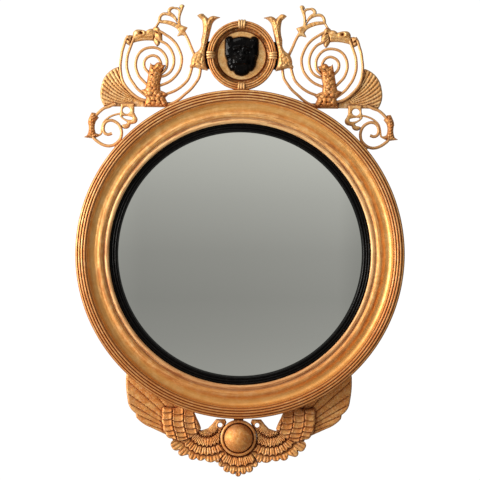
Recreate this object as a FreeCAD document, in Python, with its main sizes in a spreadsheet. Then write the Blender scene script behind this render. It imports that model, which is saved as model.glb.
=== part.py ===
import FreeCAD, Part
import math
import os
from types import SimpleNamespace

import Sketcher
from FreeCAD import Placement, Rotation, Vector

# Girandole mirror: a convex looking glass in a round gilt frame, with a carved crest and apron.
#
# Millimetres. +Z is up, +X is to the viewer's right and the front faces -Y. The origin is the
# middle of the round frame, on the wall. "Depth" is the distance in front of the wall, so a point
# at depth d lies at y = -d. Left and right are as the viewer sees them.
#
# The sides of the crest and of the apron are carved as mirror images: each piece is made for the
# right side and mirrored for the left. Crest outlines are measured from the place where the crest
# bar meets the frame, the calyx from the edge of the roundel, and the apron from the bottom of
# the frame.

# ---------------------------------------------------------------------------- driving sizes

DRIVING_SIZES = {
    # face of the frame, from the sight edge outwards
    "sight_radius": 305.0,
    "slip_face_width": 19.1,
    "bead_width": 11.6,
    "quirk_width": 3.0,
    "torus_width": 16.0,
    "cove_width": 23.5,
    "cove_fillet_width": 2.2,
    "reed_width": 6.5,
    "reed_count": 4,
    "reed_crown_place": 1.7,
    "moulding_overhang": 5.4,
    # relief of the face, as heights above the front of the core
    "bead_level": 12.0,
    "bead_bulge": 3.0,
    "quirk_level": 10.0,
    "torus_level": 14.5,
    "torus_bulge": 4.0,
    "cove_top_level": 26.0,
    "cove_hollow": 9.3,
    "reed_crown_level": 31.0,
    "reed_fall": 1.1,
    "reed_bulge": 2.4,
    "side_fillet_level": 8.0,
    "side_reed_level": 16.0,
    # ebonised slip
    "slip_flange_width": 6.0,
    "slip_flange_thickness": 5.0,
    "slip_thickness": 6.0,
    "slip_reed_count": 3,
    "slip_reed_bulge": 2.2,
    "slip_clearance": 0.3,
    # looking glass
    "glass_overlap": 12.5,
    "glass_rise": 38.0,
    "glass_thickness": 3.5,
    "glass_seat_gap": 0.3,
    "glass_side_clearance": 2.5,
    # core of felloes
    "core_depth": 30.0,
    "felloe_count": 6,
    "board_ledge_width": 12.0,
    "land_width": 18.0,
    "hanging_space": 14.0,
    # glazing blocks and backboard
    "block_count": 8,
    "block_length": 40.0,
    "block_width": 11.5,
    "board_recess": 10.0,
    "board_thickness": 8.0,
    "board_clearance": 0.5,
    "plank_gap": 0.3,
    "plank_screw_count": 12,
    "plank_screw_length": 20.0,
    # screws
    "screw_radius": 1.75,
    "screw_head_radius": 3.3,
    "screw_head_height": 1.7,
    "screw_hole_clearance": 0.25,
    "strap_screw_length": 9.0,
    "board_screw_length": 18.0,
    "hanger_screw_length": 13.0,
    # strap hangers and D rings
    "hanger_angle": 29.5,
    "hanger_inset": 16.0,
    "strap_plate_width": 14.0,
    "strap_plate_length": 54.0,
    "strap_plate_thickness": 1.8,
    "hanger_first_screw": 14.0,
    "hanger_second_screw": 44.0,
    "ring_wire_radius": 2.0,
    "ring_bore_clearance": 0.05,
    "ring_plate_gap": 0.3,
    "ring_half_width": 14.0,
    "ring_corner_radius": 4.0,
    "ring_side_length": 12.0,
    # iron straps of the crest and apron
    "iron_thickness": 3.0,
    # roundel
    "roundel_radius": 86.0,
    "roundel_lift": 0.6,
    "roundel_ring_width": 16.0,
    "roundel_ring_level": 20.0,
    "roundel_reed_count": 3,
    "roundel_reed_bulge": 2.0,
    "roundel_disc_radius": 58.0,
    "roundel_disc_level": 10.0,
    "roundel_cove_level": 6.0,
    "roundel_cove_top_level": 17.0,
    "roundel_cove_hollow": 3.5,
    "tie_count": 4,
    "tie_angle": 14.0,
    "tie_thickness": 1.6,
    "tie_root_level": 14.0,
    "foot_half_width": 19.5,
    "foot_height": 12.0,
    "mask_thickness": 9.0,
    "muzzle_half_width": 30.0,
    "muzzle_half_height": 34.0,
    "muzzle_height": 14.0,
    "muzzle_sink": 1.0,
    "muzzle_drop": 4.0,
    "roundel_strap_half_width": 14.0,
    "roundel_strap_reach": 125.0,
    "roundel_screw_pitch": 26.0,
    "roundel_screw_below": 44.0,
    "roundel_screw_above": 30.0,
    "strap_inner_margin": 8.0,
    # sides of the crest
    "crest_seat_x": 171.8,
    "crest_seat_drop": 38.1,
    "crest_bar_length": 163.0,
    "crest_bar_height": 12.0,
    "crest_bar_below": 4.0,
    "crest_bar_thickness": 6.5,
    "crest_strap_height": 11.0,
    "crest_strap_reach_in": 54.0,
    "crest_strap_reach_out": 80.0,
    "crest_screw_pitch": 18.0,
    "crest_screw_outside": 16.0,
    "rod_radius": 3.3,
    "scroll_radius": 3.9,
    "branch_radius": 2.6,
    "calyx_thickness": 26.0,
    "spine_thickness": 12.0,
    "spine_half_height": 34.4,
    "spine_reach_in": 12.0,
    "spine_reach_out": 4.0,
    "lotus_thickness": 7.0,
    "acanthus_thickness": 20.0,
    "trunk_thickness": 22.0,
    "husk_thickness": 18.0,
    "petal_thickness": 6.0,
    # apron
    "wing_board_thickness": 10.0,
    "wing_screw_count": 3,
    "wing_screw_first_angle": 49.0,
    "wing_screw_pitch_angle": 7.5,
    "wing_screw_offset": 4.0,
    "coverts_thickness": 13.0,
    "lower_feathers_thickness": 11.0,
    "tail_thickness": 9.0,
    "orb_drop": 50.0,
    "orb_radius": 33.4,
    "orb_rise": 34.0,
    "orb_ring_inner_radius": 36.5,
    "orb_ring_radius": 45.1,
    "orb_ring_level": 12.0,
    "orb_ring_bulge": 4.0,
    "orb_back_thickness": 3.0,
    "apron_strap_half_width": 12.0,
    "apron_strap_drop": 82.0,
    "apron_screw_pitch": 20.0,
    "orb_screw_spread": 14.0,
}

os.makedirs("parts", exist_ok=True)
doc = FreeCAD.newDocument("GirandoleMirror")
sheet = doc.addObject("Spreadsheet::Sheet", "Sizes")
for row, (alias, number) in enumerate(DRIVING_SIZES.items(), start=1):
    sheet.set(f"A{row}", alias)
    sheet.set(f"B{row}", str(number))
    sheet.setAlias(f"B{row}", alias)
doc.recompute()


class Size:
    """A length that knows both its number and the sheet formula that gives it."""

    def __init__(self, value, formula):
        self.value = value
        self.formula = formula

    def __add__(self, other):
        return Size(self.value + number_of(other), f"({self.formula} + {formula_of(other)})")

    def __sub__(self, other):
        return Size(self.value - number_of(other), f"({self.formula} - {formula_of(other)})")

    def __mul__(self, other):
        return Size(self.value * number_of(other), f"({self.formula} * {formula_of(other)})")

    def __truediv__(self, other):
        return Size(self.value / number_of(other), f"({self.formula} / {formula_of(other)})")

    def __neg__(self):
        return Size(-self.value, f"(0 - {self.formula})")

    __radd__ = __add__
    __rmul__ = __mul__


def number_of(size):
    return size.value if isinstance(size, Size) else float(size)


def formula_of(size):
    return size.formula if isinstance(size, Size) else f"({float(size)})"


def root(size):
    return Size(math.sqrt(size.value), f"sqrt({size.formula})")


def sine(size):
    return Size(math.sin(math.radians(size.value)), f"sin({size.formula} * 1deg)")


def cosine(size):
    return Size(math.cos(math.radians(size.value)), f"cos({size.formula} * 1deg)")


def bind(obj, name, size):
    """Tie a property of an object to the sheet."""
    obj.setExpression(name, formula_of(size))


S = SimpleNamespace(**{a: Size(float(sheet.get(a)), f"Sizes.{a}") for a in DRIVING_SIZES})

# Radii and depths that follow from the driving sizes.
slip_outer = S.sight_radius + S.slip_face_width
bead_outer = slip_outer + S.bead_width
quirk_outer = bead_outer + S.quirk_width
torus_outer = quirk_outer + S.torus_width
cove_outer = torus_outer + S.cove_width
reed_inner = cove_outer + S.cove_fillet_width
frame_radius = reed_inner + S.reed_width * S.reed_count
core_radius = frame_radius - S.moulding_overhang
glass_radius = S.sight_radius + S.glass_overlap
core_inner = glass_radius + S.glass_side_clearance
ledge_outer = core_inner + S.board_ledge_width
land_outer = ledge_outer + S.land_width
crest_back = S.hanging_space
bar_front = crest_back + S.crest_bar_thickness
rod_depth = bar_front + S.rod_radius
through = S.core_depth * 2  # length of a cutter that passes through every carving
roundel_z = frame_radius + S.roundel_lift + S.roundel_radius
crest_seat_z = frame_radius - S.crest_seat_drop
orb_z = -(frame_radius + S.orb_drop)

# ---------------------------------------------------------------------------- building helpers

sub_parts = []
CONVEX = 1
HOLLOW = -1


def keep(obj, label):
    """Name an object as a finished sub-part."""
    obj.Label = label
    sub_parts.append(obj)
    return obj


def new_body(name):
    body = doc.addObject("PartDesign::Body", name)
    body.Label = name
    return body


def sketch_on(body, role, offset):
    plane = next(f for f in body.Origin.OriginFeatures if f.Role == role)
    sketch = body.newObject("Sketcher::SketchObject", body.Name + "_sketch")
    sketch.AttachmentSupport = [(plane, "")]
    sketch.MapMode = "FlatFace"
    sketch.AttachmentOffset = offset
    return sketch


def bulge_radius(width, bulge):
    """Radius of the arc that rises by bulge over a chord of the given width."""
    return (width * width / 4 + bulge * bulge) / (bulge * 2)


def arc_middle(start, end, radius, side):
    """Middle of the shorter arc from start to end that bows to greater (or smaller) depth."""
    chord = end - start
    across = Vector(-chord.y, chord.x, 0).normalize()
    if across.y < 0:
        across = -across
    sagitta = radius - math.sqrt(radius * radius - chord.Length ** 2 / 4)
    return (start + end) / 2 + across * sagitta * side


def turned_profile(body, corners):
    """Sketch of a turned section. Each corner is (radius, depth) or (radius, depth, arc), where
    arc is (arc radius, CONVEX or HOLLOW) for the stretch that leaves the corner."""
    turn_to_front = Placement(Vector(), Rotation(Vector(1, 0, 0), 180))
    sketch = sketch_on(body, "XY_Plane", turn_to_front)
    points = [Vector(number_of(c[0]), number_of(c[1]), 0) for c in corners]
    starts, ends = [], []
    for i, corner in enumerate(corners):
        start, end = points[i], points[(i + 1) % len(points)]
        if len(corner) == 3:
            radius, side = corner[2]
            curve = Part.Arc(start, arc_middle(start, end, number_of(radius), side), end)
        else:
            curve = Part.LineSegment(start, end)
        g = sketch.addGeometry(curve)
        at_start = (sketch.getPoint(g, 1) - start).Length < (sketch.getPoint(g, 2) - start).Length
        starts.append(1 if at_start else 2)
        ends.append(2 if at_start else 1)
    for i, corner in enumerate(corners):
        after = (i + 1) % len(corners)
        sketch.addConstraint(Sketcher.Constraint("Coincident", i, ends[i], after, starts[after]))
        for kind, size in (("DistanceX", corner[0]), ("DistanceY", corner[1])):
            c = Sketcher.Constraint(kind, -1, 1, i, starts[i], number_of(size))
            index = sketch.addConstraint(c)
            if isinstance(size, Size):
                bind(sketch, f"Constraints[{index}]", size)
        if len(corner) == 3:
            radius = corner[2][0]
            index = sketch.addConstraint(Sketcher.Constraint("Radius", i, number_of(radius)))
            bind(sketch, f"Constraints[{index}]", radius)
    return sketch


def turned(name, corners, angle=360.0):
    """Body turned about the line that runs straight out of the wall."""
    body = new_body(name)
    sketch = turned_profile(body, corners)
    doc.recompute()
    turning = body.newObject("PartDesign::Revolution", name + "_turning")
    turning.Profile = sketch
    turning.ReferenceAxis = (sketch, ["V_Axis"])
    turning.Midplane = True
    turning.Angle = number_of(angle)
    bind(turning, "Angle", angle)
    return body


def repeat_round(body, count):
    """Repeat the turned feature of a body evenly round its axis."""
    pattern = body.newObject("PartDesign::PolarPattern", body.Name + "_round")
    pattern.Originals = [body.Tip]
    pattern.Axis = (body.Tip.Profile[0], ["V_Axis"])
    pattern.Angle = 360
    pattern.Occurrences = int(number_of(count))
    bind(pattern, "Occurrences", count)
    body.Tip = pattern


def reeds(inner, outer, count, levels, bulge):
    """Corners of a band of convex reeds, from the outer edge inwards. levels gives the depth of
    each valley, counted from the inner edge."""
    width = (outer - inner) / count
    corners = []
    for k in range(int(number_of(count)), 0, -1):
        chord = root(width * width + (levels(k) - levels(k - 1)) * (levels(k) - levels(k - 1)))
        arc = (bulge_radius(chord, bulge), CONVEX)
        corners.append((inner + width * k, levels(k), arc))
    corners.append((inner, levels(0)))
    return corners


def via(x, z):
    """Marks a point that an arc passes through, between its two neighbours."""
    return (x, z, "via")


def outline_curves(points):
    """Closed run of straight lines and three-point arcs."""
    curves = []
    i = 0
    while i < len(points):
        start = Vector(points[i][0], points[i][1], 0)
        following = points[(i + 1) % len(points)]
        if len(following) == 3:
            after = points[(i + 2) % len(points)]
            end = Vector(after[0], after[1], 0)
            curves.append(Part.Arc(start, Vector(following[0], following[1], 0), end))
            i += 2
        else:
            end = Vector(following[0], following[1], 0)
            curves.append(Part.LineSegment(start, end))
            i += 1
    return curves


def carving(name, outlines, x, z, start, thickness):
    """Body cut from a board: outlines (the first outside, the others openings) drawn from the
    point x, z and carried forward from the depth start."""
    body = new_body(name)
    offset = Vector(number_of(x), number_of(z), number_of(start))
    sketch = sketch_on(body, "XZ_Plane", Placement(offset, Rotation()))
    bind(sketch, "AttachmentOffset.Base.x", x)
    bind(sketch, "AttachmentOffset.Base.y", z)
    bind(sketch, "AttachmentOffset.Base.z", start)
    for points in outlines:
        for curve in outline_curves(points):
            sketch.addGeometry(curve)
    doc.recompute()
    pad = body.newObject("PartDesign::Pad", name + "_pad")
    pad.Profile = sketch
    pad.Length = number_of(thickness)
    bind(pad, "Length", thickness)
    return body


def place(obj, x, y, z):
    obj.Placement.Base = Vector(number_of(x), number_of(y), number_of(z))
    bind(obj, "Placement.Base.x", x)
    bind(obj, "Placement.Base.y", y)
    bind(obj, "Placement.Base.z", z)


def rod_forward(name, x, z, start, radius, length):
    """Cylinder that runs from the depth start towards the viewer."""
    cylinder = doc.addObject("Part::Cylinder", name)
    bind(cylinder, "Radius", radius)
    bind(cylinder, "Height", length)
    cylinder.Placement = Placement(Vector(), Rotation(Vector(1, 0, 0), 90))
    place(cylinder, x, -start, z)
    return cylinder


def slab(name, low_x, high_x, low_z, high_z, start, thickness):
    """Block between two X and two Z limits, from the depth start towards the viewer."""
    box = doc.addObject("Part::Box", name)
    bind(box, "Length", high_x - low_x)
    bind(box, "Width", thickness)
    bind(box, "Height", high_z - low_z)
    place(box, low_x, -(start + thickness), low_z)
    return box


def fused(name, pieces):
    fusion = doc.addObject("Part::MultiFuse", name)
    fusion.Shapes = pieces
    return fusion


def cut(name, base, *tools):
    """base with every tool taken out of it."""
    result = doc.addObject("Part::Cut", name)
    result.Base = base
    result.Tool = tools[0] if len(tools) == 1 else fused(name + "_tools", list(tools))
    return result


def mirrored(source, name):
    """The same piece on the left side."""
    copy = doc.addObject("Part::Mirroring", name)
    copy.Source = source
    copy.Normal = Vector(1, 0, 0)
    copy.Base = Vector(0, 0, 0)
    return copy


def keep_pair(piece, label):
    """Keep a piece of the right side and its mirror image."""
    keep(piece, label + "_right")
    keep(mirrored(piece, piece.Name + "_mirrored"), label + "_left")


def screws(name, places, start, length):
    """Group of equal screws driven forwards from the back: heads behind the depth start."""
    pieces = []
    for k, (x, z) in enumerate(places, start=1):
        shank = rod_forward(f"{name}_shank_{k}", x, z, start, S.screw_radius, length)
        head_start = start - S.screw_head_height
        head = rod_forward(f"{name}_head_{k}", x, z, head_start, S.screw_head_radius,
                           S.screw_head_height)
        pieces += [shank, head]
    return fused(name, pieces)


def screw_holes(name, places, start, length):
    """Clearance holes for those screws."""
    radius = S.screw_radius + S.screw_hole_clearance
    holes = [rod_forward(f"{name}_{k}", x, z, start, radius, length)
             for k, (x, z) in enumerate(places, start=1)]
    return fused(name, holes)


def on_circle(radius, angle):
    return (radius * cosine(angle), radius * sine(angle))


# ---------------------------------------------------------------------------- bent rods


def point(pair):
    return Vector(number_of(pair[0]), 0, number_of(pair[1]))


def tangent_through(a, b, c):
    """Direction at b of the circle through three points, walking from a to c."""
    before, after = b - a, c - b
    weight_before, weight_after = after.Length, before.Length
    direction = before.normalize() * weight_before + after.normalize() * weight_after
    return direction.normalize()


def end_tangent(tangent, chord):
    """Direction at the far end of the arc that starts along tangent and spans chord."""
    along = Vector(chord).normalize()
    return (along * 2 * along.dot(tangent) - tangent).normalize()


def arc_from(start, tangent, end):
    """Arc from start to end that leaves along tangent, or a line where it would be straight."""
    chord = end - start
    normal = Vector(-tangent.z, 0, tangent.x)
    offset = normal.dot(chord)
    if abs(offset) < 1e-4 * chord.Length:
        return Part.LineSegment(start, end).toShape()
    centre = start + normal * (chord.dot(chord) / (2 * offset))
    middle_way = (start + end) / 2 - centre
    middle = centre + middle_way.normalize() * (start - centre).Length
    return Part.Arc(start, middle, end).toShape()


def bent_path(pairs):
    """Wire of tangent arcs through the given points of the front plane."""
    points = [point(pair) for pair in pairs]
    inner = [tangent_through(*points[i - 1:i + 2]) for i in range(1, len(points) - 1)]
    first = end_tangent(-inner[0], points[0] - points[1])
    last = end_tangent(inner[-1], points[-1] - points[-2])
    tangents = [-first] + inner + [last]
    edges = []
    for i in range(len(points) - 1):
        start, end = points[i], points[i + 1]
        leave, arrive = tangents[i], tangents[i + 1]
        chord = end - start
        spread = 2 * (1 - leave.dot(arrive))
        both = chord.dot(leave + arrive)
        if spread < 1e-9:
            reach = chord.dot(chord) / (2 * both)
        else:
            reach = (math.sqrt(both * both + spread * chord.dot(chord)) - both) / spread
        joint = (start + end + (leave - arrive) * reach) / 2
        edges.append(arc_from(start, leave, joint))
        edges.append(arc_from(joint, end_tangent(leave, joint - start), end))
    return Part.Wire(edges)


def bent_rod(name, pairs, radius, x, z, depth):
    """Round rod bent along tangent arcs, drawn from the point x, z at one depth."""
    path = doc.addObject("Part::Feature", name + "_path")
    path.Shape = bent_path(pairs)
    path.Placement.Base = Vector(number_of(x), -number_of(depth), number_of(z))
    section = doc.addObject("Part::Circle", name + "_section")
    bind(section, "Radius", radius)
    first = path.Shape.Edges[0]
    start = first.valueAt(first.FirstParameter)
    far = first.valueAt(first.LastParameter)
    along = first.tangentAt(first.FirstParameter)
    if (start - path.Shape.OrderedVertexes[0].Point).Length > (far - start).Length / 2:
        start = far
        along = first.tangentAt(first.LastParameter)
    section.Placement = Placement(start, Rotation(Vector(0, 0, 1), along))
    sweep = doc.addObject("Part::Sweep", name)
    sweep.Sections = [section]
    sweep.Spine = (path, [])
    sweep.Solid = True
    sweep.Frenet = True
    return sweep


# ---------------------------------------------------------------------------- frame


def moulding_level(level):
    return S.core_depth + level


def reed_level(k):
    """Valleys between the outer reeds fall away from a crown near the second reed."""
    from_crown = S.reed_crown_place - k
    return moulding_level(S.reed_crown_level) - S.reed_fall * (from_crown * from_crown)


def make_moulding():
    lip_back = S.core_depth + S.slip_flange_thickness
    rebate_radius = slip_outer + S.slip_flange_width + S.slip_clearance
    cove_top = moulding_level(S.cove_top_level)
    torus_edge = moulding_level(S.torus_level)
    cove_rise = S.cove_top_level - S.torus_level
    cove_chord = root(S.cove_width * S.cove_width + cove_rise * cove_rise)
    corners = [
        (core_radius, S.core_depth),
        (core_radius, moulding_level(S.side_fillet_level)),
        (frame_radius, moulding_level(S.side_reed_level)),
    ]
    corners += reeds(reed_inner, frame_radius, S.reed_count, reed_level, S.reed_bulge)
    corners += [
        (reed_inner, cove_top),
        (cove_outer, cove_top, (bulge_radius(cove_chord, S.cove_hollow), HOLLOW)),
        (torus_outer, torus_edge, (bulge_radius(S.torus_width, S.torus_bulge), CONVEX)),
        (quirk_outer, torus_edge),
        (quirk_outer, moulding_level(S.quirk_level)),
        (bead_outer, moulding_level(S.quirk_level)),
        (bead_outer, moulding_level(S.bead_level),
         (bulge_radius(S.bead_width, S.bead_bulge), CONVEX)),
        (slip_outer, moulding_level(S.bead_level)),
        (slip_outer, lip_back),
        (rebate_radius, lip_back),
        (rebate_radius, S.core_depth),
    ]
    keep(turned("moulding", corners), "frame_moulding")


def make_slip():
    flange_outer = slip_outer + S.slip_flange_width
    flange_front = S.core_depth + S.slip_flange_thickness
    face_outer = slip_outer - S.slip_clearance
    face = S.core_depth + S.slip_thickness
    corners = [
        (S.sight_radius, S.core_depth),
        (flange_outer, S.core_depth),
        (flange_outer, flange_front),
        (face_outer, flange_front),
    ]
    corners += reeds(S.sight_radius, face_outer, S.slip_reed_count, lambda k: face,
                     S.slip_reed_bulge)
    keep(turned("slip", corners), "ebonised_slip")


def make_glass():
    """Shell of a large sphere whose front touches the back of the slip at the sight edge."""
    curve = (glass_radius * glass_radius + S.glass_rise * S.glass_rise) / (S.glass_rise * 2)
    rise_at_sight = root(curve * curve - S.sight_radius * S.sight_radius) - (curve - S.glass_rise)
    edge = S.core_depth - S.glass_seat_gap - rise_at_sight
    back_edge = edge - S.glass_thickness
    corners = [
        (0, edge + S.glass_rise, (curve, CONVEX)),
        (glass_radius, edge),
        (glass_radius, back_edge, (curve, CONVEX)),
        (0, back_edge + S.glass_rise),
    ]
    keep(turned("glass", corners), "convex_glass")
    return back_edge


def make_core():
    """Ring of felloes: a deep land that rests on the wall, a ledge for the backboard, and an
    outer zone that stands off the wall by the hanging space."""
    corners = [
        (core_inner, S.board_recess),
        (ledge_outer, S.board_recess),
        (ledge_outer, 0),
        (land_outer, 0),
        (land_outer, S.hanging_space),
        (core_radius, S.hanging_space),
        (core_radius, S.core_depth),
        (core_inner, S.core_depth),
    ]
    count = int(number_of(S.felloe_count))
    for k in range(count):
        felloe = turned(f"felloe_{k + 1}", corners, Size(360.0, "360") / S.felloe_count)
        middle = 360.0 * (k + 0.5) / count
        felloe.Placement = Placement(Vector(), Rotation(Vector(0, 1, 0), middle))
        keep(felloe, f"core_felloe_{k + 1}")


def make_glazing_blocks(glass_back_edge):
    """Blocks glued to the inside of the core, just behind the edge of the glass."""
    outer = root(core_inner * core_inner - S.block_length * S.block_length / 4)
    depth = glass_back_edge - S.glass_seat_gap - S.board_recess
    block = new_body("glazing_block")
    sketch = sketch_on(block, "XZ_Plane", Placement())
    half = number_of(S.block_length) / 2
    low, high = number_of(outer - S.block_width), number_of(outer)
    for curve in outline_curves([(low, -half), (high, -half), (high, half), (low, half)]):
        sketch.addGeometry(curve)
    for k in range(4):
        sketch.addConstraint(Sketcher.Constraint("Coincident", k, 2, (k + 1) % 4, 1))
    for vertex, (x, z) in enumerate([(outer - S.block_width, -S.block_length / 2),
                                     (outer, -S.block_length / 2),
                                     (outer, S.block_length / 2),
                                     (outer - S.block_width, S.block_length / 2)]):
        for kind, size in (("DistanceX", x), ("DistanceY", z)):
            c = Sketcher.Constraint(kind, -1, 1, vertex, 1, number_of(size))
            bind(sketch, f"Constraints[{sketch.addConstraint(c)}]", size)
    bind(sketch, "AttachmentOffset.Base.z", S.board_recess)
    doc.recompute()
    pad = block.newObject("PartDesign::Pad", "glazing_block_pad")
    pad.Profile = sketch
    bind(pad, "Length", depth)
    doc.recompute()
    pattern = block.newObject("PartDesign::PolarPattern", "glazing_block_round")
    pattern.Originals = [pad]
    pattern.Axis = (sketch, ["N_Axis"])
    pattern.Angle = 360
    bind(pattern, "Occurrences", S.block_count)
    block.Tip = pattern
    keep(block, "glazing_blocks")


PLANKS = ("lower", "middle", "upper")


def make_backboard():
    """Planks let into the back of the core and screwed to its ledge."""
    board_radius = ledge_outer - S.board_clearance
    board_back = S.board_recess - S.board_thickness
    screw_circle = (core_inner + board_radius) / 2
    turn = Size(360.0, "360") / S.plank_screw_count
    places = [on_circle(screw_circle, turn * (k + 0.5))
              for k in range(int(number_of(S.plank_screw_count)))]
    keep(screws("plank_screw", places, board_back, S.plank_screw_length), "plank_screws")
    plank_height = board_radius * 2 / len(PLANKS)
    for k, label in enumerate(PLANKS):
        disc = rod_forward(f"board_disc_{label}", 0, 0, board_back, board_radius,
                           S.board_thickness)
        low = -board_radius + plank_height * k
        strip = slab(f"board_strip_{label}", -board_radius, board_radius,
                     low + S.plank_gap / 2, low + plank_height - S.plank_gap / 2,
                     board_back, S.board_thickness)
        plank = doc.addObject("Part::Common", f"plank_{label}")
        plank.Base = disc
        plank.Tool = strip
        holes = screw_holes(f"plank_hole_{label}", places, board_back, S.board_thickness)
        keep(cut(f"drilled_plank_{label}", plank, holes), f"back_plank_{label}")


# ---------------------------------------------------------------------------- hanging hardware


def make_hangers():
    """A folded strap on each side of the back, and a D ring that hangs in its barrel."""
    pivot_x, pivot_z = on_circle(core_radius - S.hanger_inset, S.hanger_angle)
    pivot_lift = S.strap_plate_thickness + S.ring_plate_gap + S.ring_wire_radius
    pivot_depth = S.hanging_space - pivot_lift
    plate_start = S.hanging_space - S.strap_plate_thickness
    bore = S.ring_wire_radius + S.ring_bore_clearance
    half_plate = S.strap_plate_width / 2
    plate = slab("strap_plate", pivot_x - half_plate, pivot_x + half_plate,
                 pivot_z - S.strap_plate_length, pivot_z, plate_start, S.strap_plate_thickness)

    def along_x(name, radius, length):
        cylinder = doc.addObject("Part::Cylinder", name)
        bind(cylinder, "Radius", radius)
        bind(cylinder, "Height", length)
        cylinder.Placement = Placement(Vector(), Rotation(Vector(0, 1, 0), 90))
        place(cylinder, pivot_x - length / 2, -pivot_depth, pivot_z)
        return cylinder

    barrel = along_x("strap_barrel", bore + S.strap_plate_thickness, S.strap_plate_width)
    barrel_bore = along_x("strap_bore", bore, S.strap_plate_width * 2)
    places = [(pivot_x, pivot_z - S.hanger_first_screw),
              (pivot_x, pivot_z - S.hanger_second_screw)]
    holes = screw_holes("strap_hole", places, plate_start, S.strap_plate_thickness)
    strap = cut("strap", fused("strap_blank", [plate, barrel]), barrel_bore, holes)
    keep_pair(strap, "hanger_strap")
    right = screws("hanger_screw", places, plate_start, S.hanger_screw_length)
    both = doc.addObject("Part::Compound", "hanger_screw_group")
    both.Links = [right, mirrored(right, "hanger_screw_mirrored")]
    keep(both, "hanger_screws")

    # The ring: a straight bar in the barrel, two corners, two sides and a round bow.
    side = S.ring_half_width
    corner = S.ring_corner_radius
    bow_start = corner + S.ring_side_length
    wide, bend, deep = number_of(side), number_of(corner), number_of(bow_start)
    near = bend * (1 - math.sqrt(0.5))
    outline = [(-wide + bend, 0), (wide - bend, 0), via(wide - near, -near), (wide, -bend),
               (wide, -deep), via(0, -deep - wide), (-wide, -deep), (-wide, -bend),
               via(-wide + near, -near)]
    ring = new_body("d_ring")
    spine = sketch_on(ring, "XZ_Plane", Placement())
    for curve in outline_curves(outline):
        spine.addGeometry(curve)
    section = ring.newObject("Sketcher::SketchObject", "d_ring_section")
    plane = next(f for f in ring.Origin.OriginFeatures if f.Role == "YZ_Plane")
    section.AttachmentSupport = [(plane, "")]
    section.MapMode = "FlatFace"
    wire_radius = number_of(S.ring_wire_radius)
    section.addGeometry(Part.Circle(Vector(), Vector(0, 0, 1), wire_radius))
    section.addConstraint(Sketcher.Constraint("Coincident", 0, 3, -1, 1))
    index = section.addConstraint(Sketcher.Constraint("Radius", 0, wire_radius))
    bind(section, f"Constraints[{index}]", S.ring_wire_radius)
    doc.recompute()
    pipe = ring.newObject("PartDesign::AdditivePipe", "d_ring_pipe")
    pipe.Profile = section
    pipe.Spine = (spine, [])
    place(ring, pivot_x, -pivot_depth, pivot_z)
    keep_pair(ring, "hanger_ring")


# ---------------------------------------------------------------------------- roundel


def at_roundel(body):
    place(body, 0, 0, roundel_z)
    return body


def make_roundel():
    ring_inner = S.roundel_radius - S.roundel_ring_width
    ring_front = crest_back + S.roundel_ring_level
    corners = [(ring_inner, crest_back), (S.roundel_radius, crest_back)]
    corners += reeds(ring_inner, S.roundel_radius, S.roundel_reed_count,
                     lambda k: ring_front, S.roundel_reed_bulge)
    ring = at_roundel(turned("roundel_ring_body", corners))
    keep(ring, "roundel_ring")

    cove_floor = crest_back + S.roundel_cove_level
    cove_top = crest_back + S.roundel_cove_top_level
    disc_front = crest_back + S.roundel_disc_level
    cove_width = ring_inner - S.roundel_disc_radius
    cove_rise = cove_top - cove_floor
    chord = root(cove_width * cove_width + cove_rise * cove_rise)
    dish = at_roundel(turned("roundel_dish_body", [
        (0, crest_back),
        (ring_inner, crest_back),
        (ring_inner, cove_top, (bulge_radius(chord, S.roundel_cove_hollow), HOLLOW)),
        (S.roundel_disc_radius, cove_floor),
        (S.roundel_disc_radius, disc_front),
        (0, disc_front),
    ]))
    keep(dish, "roundel_dish")

    tie_root = crest_back + S.tie_root_level
    tie_front = ring_front + S.roundel_reed_bulge + S.tie_thickness
    ties = at_roundel(turned("tie_blank", [
        (ring_inner - S.tie_thickness, tie_root + S.tie_thickness * 2),
        (S.roundel_radius, tie_root),
        (S.roundel_radius + S.tie_thickness, tie_root),
        (S.roundel_radius + S.tie_thickness, ring_front),
        (S.roundel_radius - S.tie_thickness, tie_front),
        (ring_inner + S.tie_thickness, tie_front),
        (ring_inner - S.tie_thickness, ring_front),
    ], S.tie_angle))
    doc.recompute()
    repeat_round(ties, S.tie_count)
    ties_on_ring = cut("ties_on_ring", ties, ring, dish)
    keep(ties_on_ring, "ribbon_ties")

    # Shield-shaped face with round ears and a raised muzzle.
    shield = carving("mask_shield", [[
        (-39, 34), via(-33, 46), (-22, 41), via(0, 48), (22, 41), via(33, 46), (39, 34),
        via(42, 0), (31, -28), via(16, -46), (0, -50), via(-16, -46), (-31, -28), via(-42, 0),
    ]], 0, roundel_z, disc_front, S.mask_thickness)
    muzzle = doc.addObject("Part::Ellipsoid", "mask_muzzle")
    bind(muzzle, "Radius1", S.muzzle_height)
    bind(muzzle, "Radius2", S.muzzle_half_width)
    bind(muzzle, "Radius3", S.muzzle_half_height)
    muzzle.Angle1 = 0
    muzzle.Placement = Placement(Vector(), Rotation(Vector(1, 0, 0), 90))
    place(muzzle, 0, -(disc_front + S.mask_thickness - S.muzzle_sink), roundel_z - S.muzzle_drop)
    keep(fused("mask", [shield, muzzle]), "leopard_mask")

    foot = slab("foot_blank", -S.foot_half_width, S.foot_half_width,
                core_radius - S.foot_height, core_radius + S.foot_height,
                crest_back, S.core_depth - S.hanging_space)
    core_disc = rod_forward("foot_seat", 0, 0, 0, core_radius, through)
    ring_disc = rod_forward("foot_top", 0, roundel_z, 0, S.roundel_radius, through)
    keep(cut("foot", foot, core_disc, ring_disc, ties_on_ring), "roundel_foot")
    return ring_disc


def roundel_strap_places():
    low = land_outer + S.strap_inner_margin * 2
    return [(0, low), (0, low + S.roundel_screw_pitch),
            (0, roundel_z - S.roundel_screw_below), (0, roundel_z + S.roundel_screw_above)]


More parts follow.
